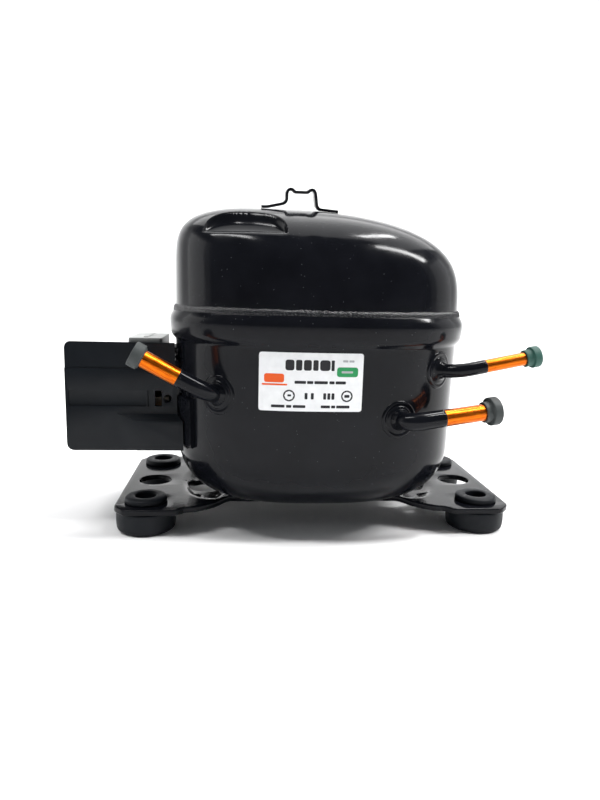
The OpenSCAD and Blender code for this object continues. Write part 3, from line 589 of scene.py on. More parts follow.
def finish_cad_nodes():
    """Gives every CAD node the procedural material of its slot."""
    slots = {part["node"]: part["material_slot"] for part in frame["record"]["subparts"]}
    for node, piece in frame["nodes"].items():
        finish_mesh(piece.data, SLOT_LOOKS[slots[node]], 30)


finish_cad_nodes()


# ---- shells

# squareness of the dome in plan and in height: on its left, on its right and at its front
SPREAD = (1.9, 2.4, 2.2)
RISE = (8.0, 3.3, 3.2)
SCOOP = {
    "x": -40.0, "left": 16.1, "left_power": 2.2, "right": 22.0, "right_power": 3.0, "floor": 144.6,
    "rim": 10.6,
}
DIMPLE = {"x": -6.4, "y": -58.5, "rx": 7.0, "ry": 4.5, "depth": 0.7}


def around(values, degrees):
    """A dome value at a plan angle, from its values on the left, on the right and at the front."""
    left, right, front = values
    t = radians(degrees)
    across, along = sin(t) ** 2, (1 + cos(t)) / 2
    return (left * (1 - along) + right * along) * (1 - across) + front * across


def soft_min(a, b, blend):
    """The smaller of two heights, rounded over where they meet."""
    h = max(0.0, min(1.0, 0.5 + 0.5 * (b - a) / blend))
    return b * (1 - h) + a * h - blend * h * (1 - h)


def rim_height(x):
    """Height of the scoop's rim above its floor, rounder on the right."""
    side = "left" if x < SCOOP["x"] else "right"
    share = abs(x - SCOOP["x"]) / SCOOP[side]
    power = SCOOP[side + "_power"]
    return SCOOP["rim"] * (1 - share**power) ** (1 / power) if share < 1 else 0.0


def scooped(x, y, z):
    """Height of the dome's skin where the scoop and the dimple are pressed in."""
    if y > -10:
        return z
    above, rim = z - SCOOP["floor"], rim_height(x)
    if above > -2 and rim > 0:
        climb = min(1.0, max(0.0, (above / rim - 0.52) / 0.48))
        pocket = SCOOP["floor"] + rim * (1 - sqrt(1 - climb**2)) + 30 * max(0.0, above / rim - 1)
        z = soft_min(z, pocket, min(1.2, 0.15 * rim))
    dent = hypot((x - DIMPLE["x"]) / DIMPLE["rx"], (y - DIMPLE["y"]) / DIMPLE["ry"])
    return z - DIMPLE["depth"] * smooth(1 - dent)


def dome_angles():
    """Angles around the dome, closer together where the scoop is."""
    angles, t = [], 0.0
    while t < 360:
        angles.append(t)
        t += 0.3 if 205 <= t < 285 else 1.5
    return angles


def dome_rings(depth, rows):
    """Rings of the dome at a depth under its outside, from the rim to near the top."""
    half, top = UPPER_HALF - depth, DOME_Z - depth
    angles = dome_angles()
    rings = []
    for row in range(rows):
        u = pi / 2 * (1 - (row / rows) ** 1.6)
        ring = []
        for t in angles:
            x, y = plan_point(half, t)
            k = sin(u) ** (2 / around(SPREAD, t))
            rise = cos(u) ** (2 / around(RISE, t))
            p = Vector((APEX_X + (x - APEX_X) * k, y * k, RIM_Z + (top - RIM_Z) * rise))
            p.z = scooped(p.x, p.y, p.z + depth) - depth
            ring.append(p)
        rings.append(ring)
    return rings


def make_upper_shell():
    outside = dome_rings(0.0, 130)
    inside = dome_rings(SHEET, 30)
    skirt = upper_low.z
    angles = dome_angles()
    edge = [oval(half, z, angles) for half, z in (
        (UPPER_HALF - SHEET, skirt + 0.5), (UPPER_HALF - SHEET + 0.5, skirt),
        (UPPER_HALF - 0.5, skirt), (UPPER_HALF, skirt + 0.5),
    )]
    piece = from_rings("upper_shell_pressing", inside[::-1] + edge + outside)
    enamelled(piece, ["upper_shell"], 60)


def lower_profile():
    """Half width and height of the lower shell's skin, from its middle out and up."""
    outside = [(WALL_LOW - FILLET, SHELL_Z)]
    for degrees in range(3, 91, 3):
        u = radians(degrees)
        outside.append((WALL_LOW - FILLET + FILLET * sin(u), SHELL_Z + FILLET * (1 - cos(u))))
    for i in range(1, 9):
        z = FILLET_TOP + (BELT_Z - FILLET_TOP) * i / 8
        outside.append((wall_half(z), z))
    out = BELT_HALF - SHELL_HALF
    belt = rounded(
        [(SHELL_HALF, BELT_Z), (SHELL_HALF + 0.2, BELT_Z + 1.2), (BELT_HALF - 0.5, BELT_Z + out + 1.0),
         (BELT_HALF, BELT_Z + 9), (BELT_HALF, RIM_Z - 3.2), (SHELL_HALF + 1.2, RIM_Z),
         (SHELL_HALF + 0.2, RIM_Z)],
        [0, 2.0, 3.4, 3.0, 2.0, 0.3, 0], 7,
    )
    outside += belt[1:]
    inner, bend = SHELL_HALF - SHEET, FILLET - SHEET
    return outside, [
        (SHELL_HALF + 0.2, upper_low.z - 0.4), (SHELL_HALF - 2.8, upper_low.z - 3), (inner, BELT_Z - 1),
    ] + [
        (WALL_LOW - FILLET + bend * sin(u), SHELL_Z + SHEET + bend * (1 - cos(u)))
        for u in [radians(90 - 6 * i) for i in range(15)]
    ]


def make_lower_shell():
    outside, inside = lower_profile()
    sides = 320
    angles = [360 * i / sides for i in range(sides)]
    rings = [oval(half, z, angles) for half, z in outside + inside]
    middle = Vector((SHELL_X, 0, SHELL_Z))
    floor = [[middle + (p - middle) * share for p in rings[0]] for share in (0.25, 0.5, 0.75)]
    piece = from_rings("lower_shell_pressing", floor + rings)
    enamelled(piece, ["lower_shell"], 60)


def make_weld_bead():
    """A run of overlapping weld ripples around the rim, uneven like a hand-fed seam."""
    dice = random.Random(7)
    sides, rows = 1500, 12
    start = UPPER_HALF + 0.05
    width, height = weld_high.x - SHELL_X - start, weld_high.z - weld_low.z
    wobble = [dice.uniform(-1, 1) for _ in range(120)]
    rings = []
    for row in range(rows):
        u = pi / 2 * row / (rows - 1)
        ring = []
        for i in range(sides):
            t = 360 * i / sides
            step = i / sides * len(wobble)
            drift = wobble[int(step)] * (1 - step % 1) + wobble[(int(step) + 1) % len(wobble)] * (step % 1)
            ripple = ((i / 4.6 + 1.2 * sin(u)) % 1.0) ** 2
            swell = 1 - 0.20 * ripple - 0.12 * (drift + 1) / 2 - 0.06 * dice.random()
            out = start + width * cos(u) * swell
            ring.append(Vector((*plan_point(out, t), weld_low.z + height * sin(u) * swell)))
        rings.append(ring)
    rings.append(oval(start, weld_low.z, [360 * i / sides for i in range(sides)]))
    piece = from_rings("rim_weld_bead", rings, wrap=True)
    dress(piece, "shell", BEAD, ["shell_weld"], 70)


make_upper_shell()
make_lower_shell()
make_weld_bead()


# ---- feet and grommets

FOOT = {
    "top": 13.8, "sheet": 3.0, "dish": 3.5, "dish_r": 11.0, "lip": 6.0, "inner": 22.0, "wing": 70.0,
    "end": 99.5, "half": 49.5, "bolt_x": 85.0, "bolt_y": 35.0, "bolt_r": 8.5, "well_x": 57.0,
    "well_r": 10.0, "pilot_x": 61.0, "pilot_y": 17.5, "pilot_r": 2.0, "edge": 0.7,
}


def shell_underside(x, y):
    """Height of the shell's underside over a point of the floor."""
    inset = furthest(lambda inset: in_plan(x, y, WALL_LOW - inset), 0.0, 40.0, 16)
    if inset >= FILLET:
        return SHELL_Z
    return SHELL_Z + FILLET - sqrt(FILLET**2 - (FILLET - inset) ** 2)


def foot_top(side, x, y):
    """Top of a foot plate at distance x from the middle: saddle, then a wing with an oval dish."""
    from_dish = hypot(x - FOOT["well_x"] + 4, y / 2) - FOOT["dish_r"]
    wing = FOOT["top"] - FOOT["dish"] * (1 - smooth(from_dish / FOOT["lip"]))
    saddle = shell_underside(side * min(x, 44.0), y) - 0.05
    a = smooth((x - 40) / 11)
    return saddle * (1 - a) + wing * a


def foot_outline(side):
    """Edge of a foot in plan: a waist that widens to a wing with cut corners."""
    wide, end = FOOT["half"], FOOT["end"]

    def half(x):
        return 28 + 17 * smooth((x - 34) / 30) + (wide - 45) * smooth((x - 64) / 6)

    steps = [FOOT["inner"] + (FOOT["wing"] - FOOT["inner"]) * i / 32 for i in range(33)]
    front = [(x, -half(x)) for x in steps]
    tip = rounded(
        [(80, -wide), (end - 5.5, -wide), (end, -wide + 6.5),
         (end, wide - 6.5), (end - 5.5, wide), (80, wide)],
        [0, 2.5, 2.5, 2.5, 2.5, 0],
    )
    back = [(x, half(x)) for x in reversed(steps)]
    return [(side * x, y) for x, y in front + tip + back]


def spline_loop(curve, outline):
    line = curve.splines.new("POLY")
    line.points.add(len(outline) - 1)
    for point, (x, y) in zip(line.points, outline):
        point.co = (x * MM, y * MM, 0, 1)
    line.use_cyclic_u = True


def make_foot(name, side, node):
    """A plate with rounded edges and holes, cut into a fine net and then pressed to shape."""
    curve = bpy.data.curves.new(name, "CURVE")
    curve.dimensions = "2D"
    curve.fill_mode = "BOTH"
    curve.bevel_depth = FOOT["edge"] * MM
    curve.bevel_resolution = 2
    curve.offset = -FOOT["edge"] * MM
    curve.extrude = (FOOT["sheet"] / 2 - FOOT["edge"]) * MM
    spline_loop(curve, foot_outline(side))
    for y in (-FOOT["bolt_y"], 0, FOOT["bolt_y"]):
        spline_loop(curve, disc(side * FOOT["bolt_x"], y, FOOT["bolt_r"]))
    spline_loop(curve, disc(side * FOOT["well_x"], 0, FOOT["well_r"]))
    for y in (-FOOT["pilot_y"], FOOT["pilot_y"]):
        spline_loop(curve, disc(side * FOOT["pilot_x"], y, FOOT["pilot_r"], 24))
    flat = add_object(name + "_flat", curve)
    mesh = evaluated_mesh(flat)
    bpy.data.objects.remove(flat)
    work = bmesh.new()
    work.from_mesh(mesh)
    bmesh.ops.remove_doubles(work, verts=work.verts, dist=0.00002)
    across = [((side * (24 + 1.5 * step) * MM, 0, 0), (1, 0, 0)) for step in range(32)]
    along = [((0, (y + 0.013) * MM, 0), (0, 1, 0)) for y in range(-48, 49, 3)]
    for point, normal in across + along:
        bmesh.ops.bisect_plane(
            work, geom=work.verts[:] + work.edges[:] + work.faces[:],
            plane_co=point, plane_no=normal, dist=1e-7)
    for v in work.verts:
        top = foot_top(side, abs(v.co.x) / MM, v.co.y / MM)
        v.co.z += (top - FOOT["sheet"] / 2) * MM
    bmesh.ops.triangulate(work, faces=[f for f in work.faces if len(f.verts) > 4])
    work.to_mesh(mesh)
    work.free()
    enamelled(add_object(name, mesh), [node], 42)


make_foot("left_foot_plate", -1, "left_foot")
make_foot("right_foot_plate", 1, "right_foot")


def make_grommet(node):
    """A rubber foot: a thick body under the plate, a neck through its hole and a domed flange."""
    low, high = box_mm(node)
    centre = Vector(((low.x + high.x) / 2, (low.y + high.y) / 2, 0))
    body, bore, neck, flange = (high.x - low.x) / 2, 5.15, 8.45, 10.4
    plate_low, plate_top = FOOT["top"] - FOOT["sheet"], FOOT["top"]
    profile = rounded([
        (bore, 0), (body - 0.5, 0), (body, plate_low / 2), (body - 0.3, plate_low), (neck, plate_low),
        (neck, plate_top), (flange, plate_top), (flange, plate_top + 2.6), (bore + 3.2, high.z),
        (bore, high.z),
    ], [0.8, 2.2, 3.0, 1.0, 0, 0, 0.7, 2.0, 1.5, 1.2], 6)
    piece = lathe(node + "_rubber", profile, Matrix.Translation(centre), 72)
    dress(piece, "shell", FOOT_RUBBER, [node], 50)


for corner in ("front_left", "front_right", "rear_left", "rear_right"):
    make_grommet("grommet_" + corner)


# ---- tray strap and label


def strip_outline(path, thick):
    """Both sides of a bent strip, mitred at its bends."""
    path = [Vector(p) for p in path]
    sides = ([], [])
    for i, p in enumerate(path):
        before = (path[max(i, 1)] - path[max(i, 1) - 1]).normalized()
        after = (path[min(i, len(path) - 2) + 1] - path[min(i, len(path) - 2)]).normalized()
        a, b = Vector((-before.y, before.x)), Vector((-after.y, after.x))
        middle = (a + b).normalized()
        offset = middle / middle.dot(a) * thick / 2
        sides[0].append(p + offset)
        sides[1].append(p - offset)
    return sides[0] + sides[1][::-1]


def make_strap():
    """The bent strap on the dome that a drip tray clips under."""
    centre_y, width, thick, tilt = -18.0, 9.0, 1.4, radians(7.3)
    seat, right_seat = DOME_Z - 0.15, DOME_Z - 0.6
    top = seat + 8.7
    route = rounded([
        (-29.2, seat), (-26.4, seat), (-18.2, seat + 1.8), (-16.8, seat + 3.2), (-16.8, top - 1.4),
        (-15.5, top), (-14, top - 0.2), (-13, top - 1.4), (-6.4, top - 1.4), (-5.4, top - 0.2),
        (-3.9, top), (-2.8, top - 1.4), (-1.9, right_seat + 1.4), (-0.6, right_seat), (8.8, right_seat - 0.7),
    ], [0, 1.4, 1.4, 1.4, 1.6, 1.2, 1.2, 1.2, 1.2, 1.2, 1.4, 1.4, 1.2, 1.4, 0], 4)
    piece = prism("tray_strap", strip_outline(route, thick), -width / 2, width / 2, "Y")
    to_pivot = Matrix.Translation(Vector((0, 0, -seat)) * MM)
    to_seat = Matrix.Translation(Vector((0, centre_y, seat)) * MM)
    piece.data.transform(to_seat @ Matrix.Rotation(tilt, 4, "X") @ to_pivot)
    bevel(piece, 0.35, 60)
    enamelled(piece, ["tray_bracket"], 50)


make_strap()


def wall_patch(name, outline, lift, thick):
    """A thin sheet on the front wall: outline in x and z, held lift above the enamel."""
    count = len(outline)
    middle = Vector((sum(p[0] for p in outline) / count, sum(p[1] for p in outline) / count))
    shares = [1.0, 0.8, 0.6, 0.4, 0.2]
    points, faces = [], []
    for rise in (lift + thick, lift):
        for share in shares:
            for p in outline:
                q = middle + (Vector(p) - middle) * share
                points.append(front_point(q.x, q.y, rise))
        points.append(front_point(middle.x, middle.y, rise))
    layer = len(shares) * count + 1
    for start in (0, layer):
        faces += [tuple(start + i for i in face) for face in ring_faces(len(shares), count)]
        last = start + (len(shares) - 1) * count
        faces += [(last + i, last + (i + 1) % count, start + layer - 1) for i in range(count)]
    faces += [(i, (i + 1) % count, layer + (i + 1) % count, layer + i) for i in range(count)]
    return build(name, points, faces)


def front_point(x, z, rise):
    """A point of the front wall at x and z, raised by rise."""
    half = wall_half(z)
    share = abs((x - SHELL_X) / half) ** PLAN_POWER
    y = -(half - SHELL_FLAT) * (1 - share) ** (1 / PLAN_POWER)
    return Vector((x, y - rise, z))


def plate(x0, x1, z0, z1, corner, steps=10):
    """A rectangle with round corners and extra points along its long sides."""
    made = rounded(rectangle(x0, x1, z0, z1), [corner] * 4, 4)
    full = []
    for p, q in zip(made, made[1:] + made[:1]):
        full += [p + (q - p) * k / steps for k in range(steps)] if (q - p).length > 3 else [p]
    return full


def ring_mark(x, z, radius, width):
    """Outlines of a ring, as short arcs."""
    marks = []
    for part in range(4):
        turns = [(part + k / 8) / 4 for k in range(9)]
        spokes = [turned(radius, t) for t in turns] + [turned(radius - width, t) for t in reversed(turns)]
        marks.append([(x + across, z + rise) for across, rise in spokes])
    return marks


def make_label():
    """A white film with plain bars and blocks where a maker would print words."""
    low, high = box_mm("rating_label")
    film = wall_patch("label_film", plate(low.x, high.x, low.z, high.z, 1.4), 0.08, 0.2)
    dress(film, "shell", FILM, ["rating_label"], 50)
    w, h = high.x - low.x, high.z - low.z

    def bar(u, v, wide, high_share):
        """A bar from a place and a size given as shares of the label."""
        x, z, width, height = low.x + u * w, low.z + v * h, wide * w, high_share * h
        return plate(x, x + width, z, z + height, min(width, height) * 0.3, 4)

    # heading of uneven blocks, the line under it, and the two lines at the foot
    dark = [
        bar(u, v, share, tall) for v, tall, words in (
            (0.70, 0.18,
             ((0.25, 0.085), (0.35, 0.06), (0.425, 0.075), (0.515, 0.05), (0.58, 0.10), (0.69, 0.03))),
            (0.475, 0.05, ((0.34, 0.11), (0.46, 0.06), (0.53, 0.13), (0.675, 0.05), (0.735, 0.10))),
            (0.06, 0.048,
             ((0.12, 0.13), (0.265, 0.05), (0.33, 0.12), (0.60, 0.09), (0.70, 0.04), (0.75, 0.13))),
        ) for u, share in words
    ]
    pale = [bar(0.80, 0.85, 0.05, 0.035), bar(0.86, 0.85, 0.05, 0.035), bar(0.79, 0.665, 0.11, 0.035)]
    green = [bar(0.745, 0.60, 0.205, 0.165)]
    # maker's panel, as a plain block over a bar
    orange = [bar(0.05, 0.49, 0.19, 0.15), bar(0.03, 0.44, 0.24, 0.03)]
    # a row of plain marks
    for u in (0.29, 0.85):
        dark += ring_mark(low.x + u * w, low.z + 0.27 * h, 0.10 * h, 0.022 * h)
    dark += [bar(u, 0.21, 0.028, 0.11) for u in (0.44, 0.50, 0.62, 0.66, 0.70)]
    dark += [bar(0.275, 0.255, 0.035, 0.035), bar(0.825, 0.245, 0.05, 0.05)]
    for tint, shapes, ink, lift in (
        ("dark", dark, DARK_INK, 0.29), ("pale", pale, PALE_INK, 0.31),
        ("green", green, GREEN_INK, 0.29), ("orange", orange, ORANGE_INK, 0.29),
    ):
        made = [wall_patch(f"{tint}_{i}", outline, lift, 0.02) for i, outline in enumerate(shapes)]
        dress(join(f"label_{tint}_print", made), "shell", ink, (), 50)


make_label()


# ---- line tubes

TUBES = {
    "suction": {"base": (35.5, -59.5, 61.4), "turn": 17.5, "rise": 0, "d": 8, "bare": 26},
    "process": {"base": (-49, -52.9, 71), "turn": -33.7, "rise": 14, "d": 8, "bare": 21},
    "discharge": {"base": (56.4, -49.3, 83.6), "turn": 43, "rise": 0, "d": 6.35, "bare": 26},
}
# length of a tube's straight stub, and how far each side of its corner the bend reaches
STUB, BEND = 9, 8
TUBE_SIDES = 40
# diameter, flange and sleeve lengths of each transit cap
CAPS = {"suction": (13.5, 4.4, 2.9), "process": (11.6, 4.7, 0.6), "discharge": (10.3, 4.0, 3.3)}


def stub_direction(tube):
    turn, rise = radians(tube["turn"]), radians(tube["rise"])
    return Vector((sin(turn) * cos(rise), -cos(turn) * cos(rise), sin(rise)))


def tube_mesh(name, path, radii, wall=None):
    """A tube along a path, with a radius at each point; a wall makes it hollow at its far end."""
    rings = []
    side = Vector((0.31, 0.87, 0.38))
    lengths = [0.0]
    for i, p in enumerate(path):
        ahead = (path[min(i + 1, len(path) - 1)] - path[max(i - 1, 0)]).normalized()
        s = ahead.cross(side).normalized()
        w = s.cross(ahead)
        spokes = [turned(1, k / TUBE_SIDES) for k in range(TUBE_SIDES)]
        rings.append([p + radii[i] * (across * s + along * w) for across, along in spokes])
        if i:
            lengths.append(lengths[-1] + (p - path[i - 1]).length)
    if wall:
        bore = radii[-1] - wall
        mouth = path[-1]
        spokes = [(q - mouth).normalized() * bore for q in rings[-1]]
        for p in (mouth, mouth + (path[-2] - mouth).normalized() * 12):
            rings.append([p + spoke for spoke in spokes])
            lengths.append(lengths[-1])
    piece = from_rings(name, rings)
    unwrap(piece.data, lengths)
    return piece


def unwrap(mesh, lengths):
    """Texture coordinates in metres along a tube and around it."""
    layer = mesh.uv_layers.new(name="along")
    girth = 2 * pi * 3.2 * MM
    for face in mesh.polygons:
        columns = [vertex % TUBE_SIDES for vertex in face.vertices]
        wraps = max(columns) - min(columns) > TUBE_SIDES / 2
        for index, vertex, column in zip(face.loop_indices, face.vertices, columns):
            if wraps and column < TUBE_SIDES / 2:
                column += TUBE_SIDES
            row = min(vertex // TUBE_SIDES, len(lengths) - 1)
            layer.data[index].uv = (column / TUBE_SIDES * girth, lengths[row] * MM)


def make_tube(kind):
    """A line tube: enamelled from the shell to past its bend, bare copper to its end."""
    tube = TUBES[kind]
    end, out = mount(kind + "_line")
    stub = stub_direction(tube)
    base = Vector(tube["base"])
    corner = base + STUB * stub
    a, b = corner - BEND * stub, corner + BEND * out
    bend = [arc_point(a, corner, b, i / 20) for i in range(21)]
    seam = end - tube["bare"] * out
    r = tube["d"] / 2
    straight = [b + (seam - b) * share for share in (0.5, 0.9, 1.0)]
    painted = [base - 4.5 * stub] + bend + straight + [seam + 0.15 * out]
    radii = [r + 0.1] * (len(painted) - 2) + [r + 0.09, r - 0.1]
    enamelled(tube_mesh(kind + "_tube_enamel", painted, radii), (), 60)
    bare = [seam - 2 * out] + [seam + (end - seam) * i / 12 for i in range(13)]
    swell = [r - 0.05] + [r] * 12 + [r - 0.02]
    bare_tube = tube_mesh(kind + "_tube_copper", bare, swell, 0.8)
    dress(bare_tube, "shell", COPPER, [kind + "_tube"], 50)


def make_collar(kind):
    """The raised rings where a tube is brazed in; they follow the curve of the wall."""
    tube = TUBES[kind]
    stub = stub_direction(tube)
    base, r = Vector(tube["base"]), tube["d"] / 2
    place = frame_along(base, stub)
    profile = rounded([
        (9.2, -0.5), (9.0, 0.25), (8.2, 0.75), (7.2, 0.55), (6.6, 0.45), (6.1, 0.95), (5.1, 1.1),
        (r + 1.0, 1.6), (r + 0.35, 3.0), (r + 0.02, 3.9), (r + 0.02, -0.5),
    ], [0, 0.5, 0.9, 0.8, 0.5, 0.6, 0.9, 1.6, 1.0, 0.0, 0], 4)
    rings = []
    for radius, rise in profile:
        flat = [place @ Vector((*p, 0)) for p in disc(0, 0, radius, 80)]
        rings.append([on_wall(p, stub) + rise * stub for p in flat])
    return from_rings(kind + "_collar", rings, wrap=True)


def make_cap(kind, look):
    """A push-on transit cap: a wide flange over the tube's end and a thin sleeve behind it."""
    end, out = mount(kind + "_line")
    diameter, flange, sleeve = CAPS[kind]
    r, wide, face = TUBES[kind]["d"] / 2 + 0.02, diameter / 2, 1.4
    back = face - flange
    profile = rounded([
        (r, 0.1), (r, back - sleeve), (r + 0.9, back - sleeve), (r + 0.9, back), (wide, back), (wide, face),
        (wide - 1.6, face), (wide - 2.0, face - 0.35), (0.005, face - 0.35), (0.005, 0.1),
    ], [0, 0.2, 0.3, 0.3, 0.8, 0.8, 0.25, 0.3, 0, 0], 5)
    piece = lathe(kind + "_transit_cap", profile, frame_along(end, out), 64)
    dress(piece, kind + "_plug", look, [kind + "_cap"], 50)


collars = []
for kind in TUBES:
    make_tube(kind)
    collars.append(make_collar(kind))
enamelled(join("tube_collar_rings", collars), ["tube_collars"], 60)
make_cap("suction", GREY_RUBBER)
make_cap("process", GREY_RUBBER)
make_cap("discharge", GREEN_RUBBER)


# ---- terminal box

COVER_LOW, COVER_HIGH = box_mm("terminal_cover")
COVER = {
    "left": COVER_LOW.x, "right": -64.7, "half": 32.0, "low": COVER_LOW.z, "top": COVER_HIGH.z,
    "band": 79.9, "recess_top": 69.2, "ledge": 61.3, "block_top": 57.6, "block_low": 40.5, "wall": 2.0,
    "back_top": 86.4,
}
# the cover's screw, along and up its front face
SCREW = (-74.2, 65.2)


def shell_cutter(grow):
    """The lower shell's body, grown, for cutting pieces to the curve of the wall."""
    angles = [360 * i / 160 for i in range(160)]
    return from_rings("shell_cutter", [oval(wall_half(z) + grow, z, angles) for z in range(20, 100, 4)])


def above_top(name, drop):
    """Everything above the cover's sloping top, lowered by drop."""
    c = COVER
    y = c["half"] + 10
    middle, fall = (c["top"] + c["back_top"]) / 2 - drop, (c["top"] - c["back_top"]) / c["half"] / 2
    return prism(name, [(-y, middle + y * fall), (y, middle - y * fall), (y, 130), (-y, 130)],
                 c["left"] - 2, c["right"] + 30, "X")


def make_cover():
    """The terminal cover: stepped faces, a corner block, slots, a screw hole and a hollow inside."""
    left, right, low, top = (COVER[side] for side in ("left", "right", "low", "top"))
    ledge, block_top, wall = COVER["ledge"], COVER["block_top"], COVER["wall"]
    back, face, panel_top = COVER["half"], -COVER["half"], COVER["back_top"] - 3
    outline = rectangle(left, right + 6, low, top + 0.1)
    body = prism("terminal_box_moulding", rounded(outline, [4, 0, 0, 4], 6), face, back, "Y")
    combine(body, [above_top("sloping_top", 0)], "DIFFERENCE")
    corner = prism("corner_block", [
        (-99.1, face + 1), (-99.1, face), (-88.1, face - 6.5),
        (right - 1, face - 6.5), (right - 1, face + 1),
    ], COVER["block_low"], block_top + 2)
    slope = prism("block_slope", [
        (face - 8, block_top - 3.1), (face + 2, block_top + 0.8), (face + 2, block_top + 6),
        (face - 8, block_top + 6),
    ], left + 10, right + 2, "X")
    combine(corner, [slope], "DIFFERENCE")
    combine(body, [corner], "UNION")
    outline = rectangle(left + wall, right + 20, low + wall, top + 0.1 - wall)
    inner = prism("hollow", rounded(outline, [2, 0, 0, 2], 6), face + wall, back - wall, "Y")
    combine(inner, [above_top("hollow_top", wall)], "DIFFERENCE")
    cuts = [
        inner,
        block("top_band", (left - 1, face - 1, COVER["band"]), (right + 9, face + 0.8, top + 1)),
    ]
    # a recess, a narrow slot and a window along one ledge
    for name, start, end, depth in (
        ("recess", left + 1.5, -84.4, 0.9), ("window", -80.3, -76.9, wall + 0.5), ("slot", -83.8, -83.2, 0.9),
    ):
        cuts.append(block(name, (start, face - 1, ledge), (end, face + depth, COVER["recess_top"])))
    cuts += [
        prism("screw_hole", disc(*SCREW, 2.1), face - 1, face + wall + 0.5, "Y"),
        block("open_end", (right, -60, 0), (right + 20, 60, 120)),
        shell_cutter(2.6),
        # the unseen back face has two long panels and a row of vents
        block("rear_panel", (left + 4, back - 0.8, COVER["band"] - 2), (-72, back + 1, panel_top)),
        block("rear_recess", (left + 4, back - 0.8, low + 5), (-78, back + 1, ledge)),
    ]
    for x in [left + 9 + 5.2 * i for i in range(5)]:
        cuts.append(block("rear_vent", (x, back - 1.5, 65.5), (x + 2.4, back + 1, 75.5)))
    # left end: a shallow frame around two cable knock-outs
    cuts.append(block("end_panel", (left - 1, -24, low + 7), (left + 0.6, 24, ledge - 2)))
    cuts += [prism("knock_out", disc(y, 73.5, 6.0), left - 1, left + 0.7, "X") for y in (16, -16)]
    combine(body, cuts, "DIFFERENCE")
    bevel(body, 0.4, 32)
    dress(body, "cover", COVER_PLASTIC, ["terminal_cover"], 36)


def make_lid():
    """The light lid over the cable entry, with a grip rib."""
    low, high = box_mm("cable_lid")
    outline = rounded(rectangle(low.x, high.x, low.y, high.y), [2] * 4, 6)
    lid = prism("cable_entry_lid", outline, low.z - 1, high.z - 0.5)
    outer = prism("lid_keeper", outline, low.z - 5, high.z + 5)
    combine(outer, [above_top("lid_seat", -0.02)], "DIFFERENCE")
    combine(lid, [outer], "DIFFERENCE")
    middle = (low.x + high.x) / 2
    rib = block("rib", (middle - 1.2, low.y + 4, high.z - 1), (middle + 1.2, high.y - 4, high.z))
    combine(lid, [rib], "UNION")
    bevel(lid, 0.3, 40)
    dress(lid, "cover", LID_PLASTIC, ["cable_lid"], 40)


def make_cover_bracket():
    """The steel strip on the wall and the frame that the cover pushes onto."""
    c = COVER
    inset, thick = c["wall"] + 0.4, 1.5
    y, low, high = c["half"] - inset, c["low"] + inset, c["back_top"] - inset
    tube = block("cover_bracket_frame", (-76, -y, low), (-60, y, high))
    hollow = block("frame_hollow", (-80, -y + thick, low + thick), (-50, y - thick, high - thick))
    tapped = prism("tapped_hole", disc(*SCREW, 1.7), -y - 1, -y + thick + 1, "Y")
    combine(tube, [hollow, tapped, shell_cutter(0.7)], "DIFFERENCE")
    bevel(tube, 0.3, 40)
    steps, from_angle, to_angle = 60, 142, 216
    sections = rounded([(0.0, 42.9), (1.86, 42.9), (1.86, 66.9), (0.0, 66.9)], [0, 0.9, 0.9, 0], 4)
    rings = []
    for i in range(steps + 1):
        t = from_angle + (to_angle - from_angle) * i / steps
        rings.append([Vector((*plan_point(wall_half(p[1]) + 0.05 + p[0], t), p[1])) for p in sections])
    strip = from_rings("cover_bracket_strip", rings)
    enamelled(join("cover_bracket_steel", [tube, strip]), ["cover_bracket"], 45)


make_cover()
make_lid()
make_cover_bracket()


# ---- light and floor

LIGHT_TARGET = Vector((0, 0, 0.1))


def strip_light(name, start, end, width, power):
    """A rectangular light whose middle line runs from start to end, turned to face the object."""
    start, end = Vector(start), Vector(end)
    middle = (start + end) / 2
    data = bpy.data.lights.new(name, "AREA")
    data.shape = "RECTANGLE"
    data.size, data.size_y = (end - start).length, width
    data.energy = power
    away = (middle - LIGHT_TARGET).normalized()
    across = away.cross(end - start).normalized()
    light = add_object(name, data)
    turn = Matrix((across.cross(away), across, away)).transposed().to_4x4()
    light.matrix_world = Matrix.Translation(middle) @ turn


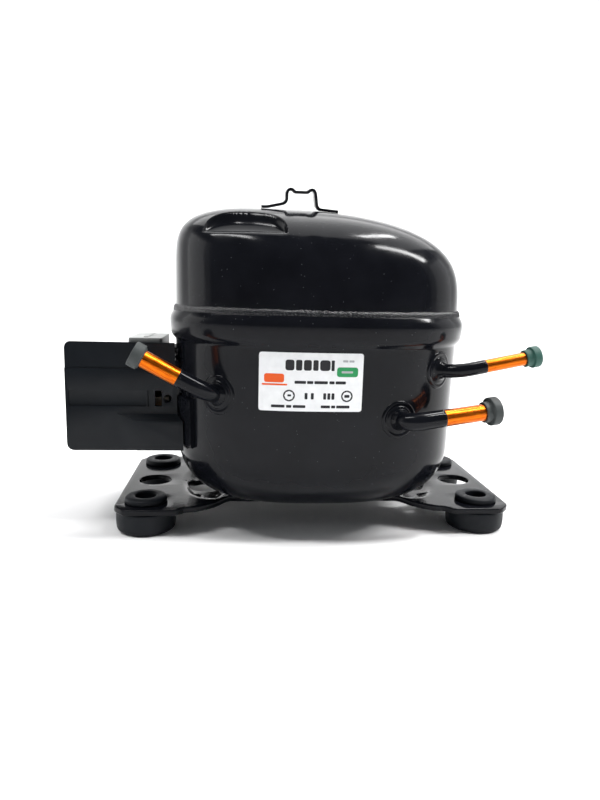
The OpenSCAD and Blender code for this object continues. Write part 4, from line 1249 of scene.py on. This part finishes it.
def make_floor():
    """A pale floor that sweeps up into a backdrop."""
    depth, bend, height, half = 1.6, 0.5, 2.6, 3.2
    profile = [(-2.4, 0.0), (depth - bend, 0.0)]
    for i in range(1, 13):
        u = pi / 2 * i / 12
        profile.append((depth - bend + bend * sin(u), bend * (1 - cos(u))))
    profile.append((depth, height))
    points = [(x / MM, y / MM, (z - 0.0002) / MM) for y, z in profile for x in (-half, half)]
    faces = [(2 * i, 2 * i + 1, 2 * i + 3, 2 * i + 2) for i in range(len(profile) - 1)]
    floor = build("floor", points, faces)
    floor.data.shade_smooth()
    look = Look("pale_floor", specular=0.2)
    mottle = look.noise(400, 2)
    look.colour(look.blend(mottle, [(0.3, (0.90,) * 3), (0.7, (0.93,) * 3)]))
    look.roughness(look.level(mottle, 0.85, 0.95))
    floor.data.materials.append(look.material)


def make_lights():
    world = bpy.data.worlds.new("studio")
    world.use_nodes = True
    sky = world.node_tree.nodes["Background"].inputs
    sky["Color"].default_value = (0.92, 0.95, 1.0, 1)
    sky["Strength"].default_value = 0.16
    bpy.context.scene.world = world
    strip_light("top_softbox", (-1.1, 0.65, 1.5), (1.3, 0.65, 1.5), 1.6, 27)
    # the overhead tubes that streak the shoulders
    strip_light("right_tube", (0.62, -0.36, 1.6), (1.75, -0.24, 1.6), 0.2, 38)
    strip_light("rear_tube", (0.40, 0.11, 1.6), (0.74, 0.62, 1.6), 0.1, 8)
    strip_light("left_tube", (-1.25, -0.12, 1.6), (-0.34, -0.43, 1.6), 0.16, 15)
    # dim side panels that grey the flanks, each with a fainter border
    for name, side, start, end, width, power in (
        ("left_panel", -1.6, -0.2, 0.8, 1.0, 4), ("left_border", -1.65, -0.5, 1.1, 1.3, 3),
        ("right_panel", 1.6, 0.8, -0.2, 1.0, 2.5), ("right_border", 1.65, 1.1, -0.5, 1.3, 2.5),
    ):
        strip_light(name, (side, start, 0.5), (side, end, 0.5), width, power)


make_floor()
make_lights()
bpy.context.scene.view_settings.view_transform = "Standard"
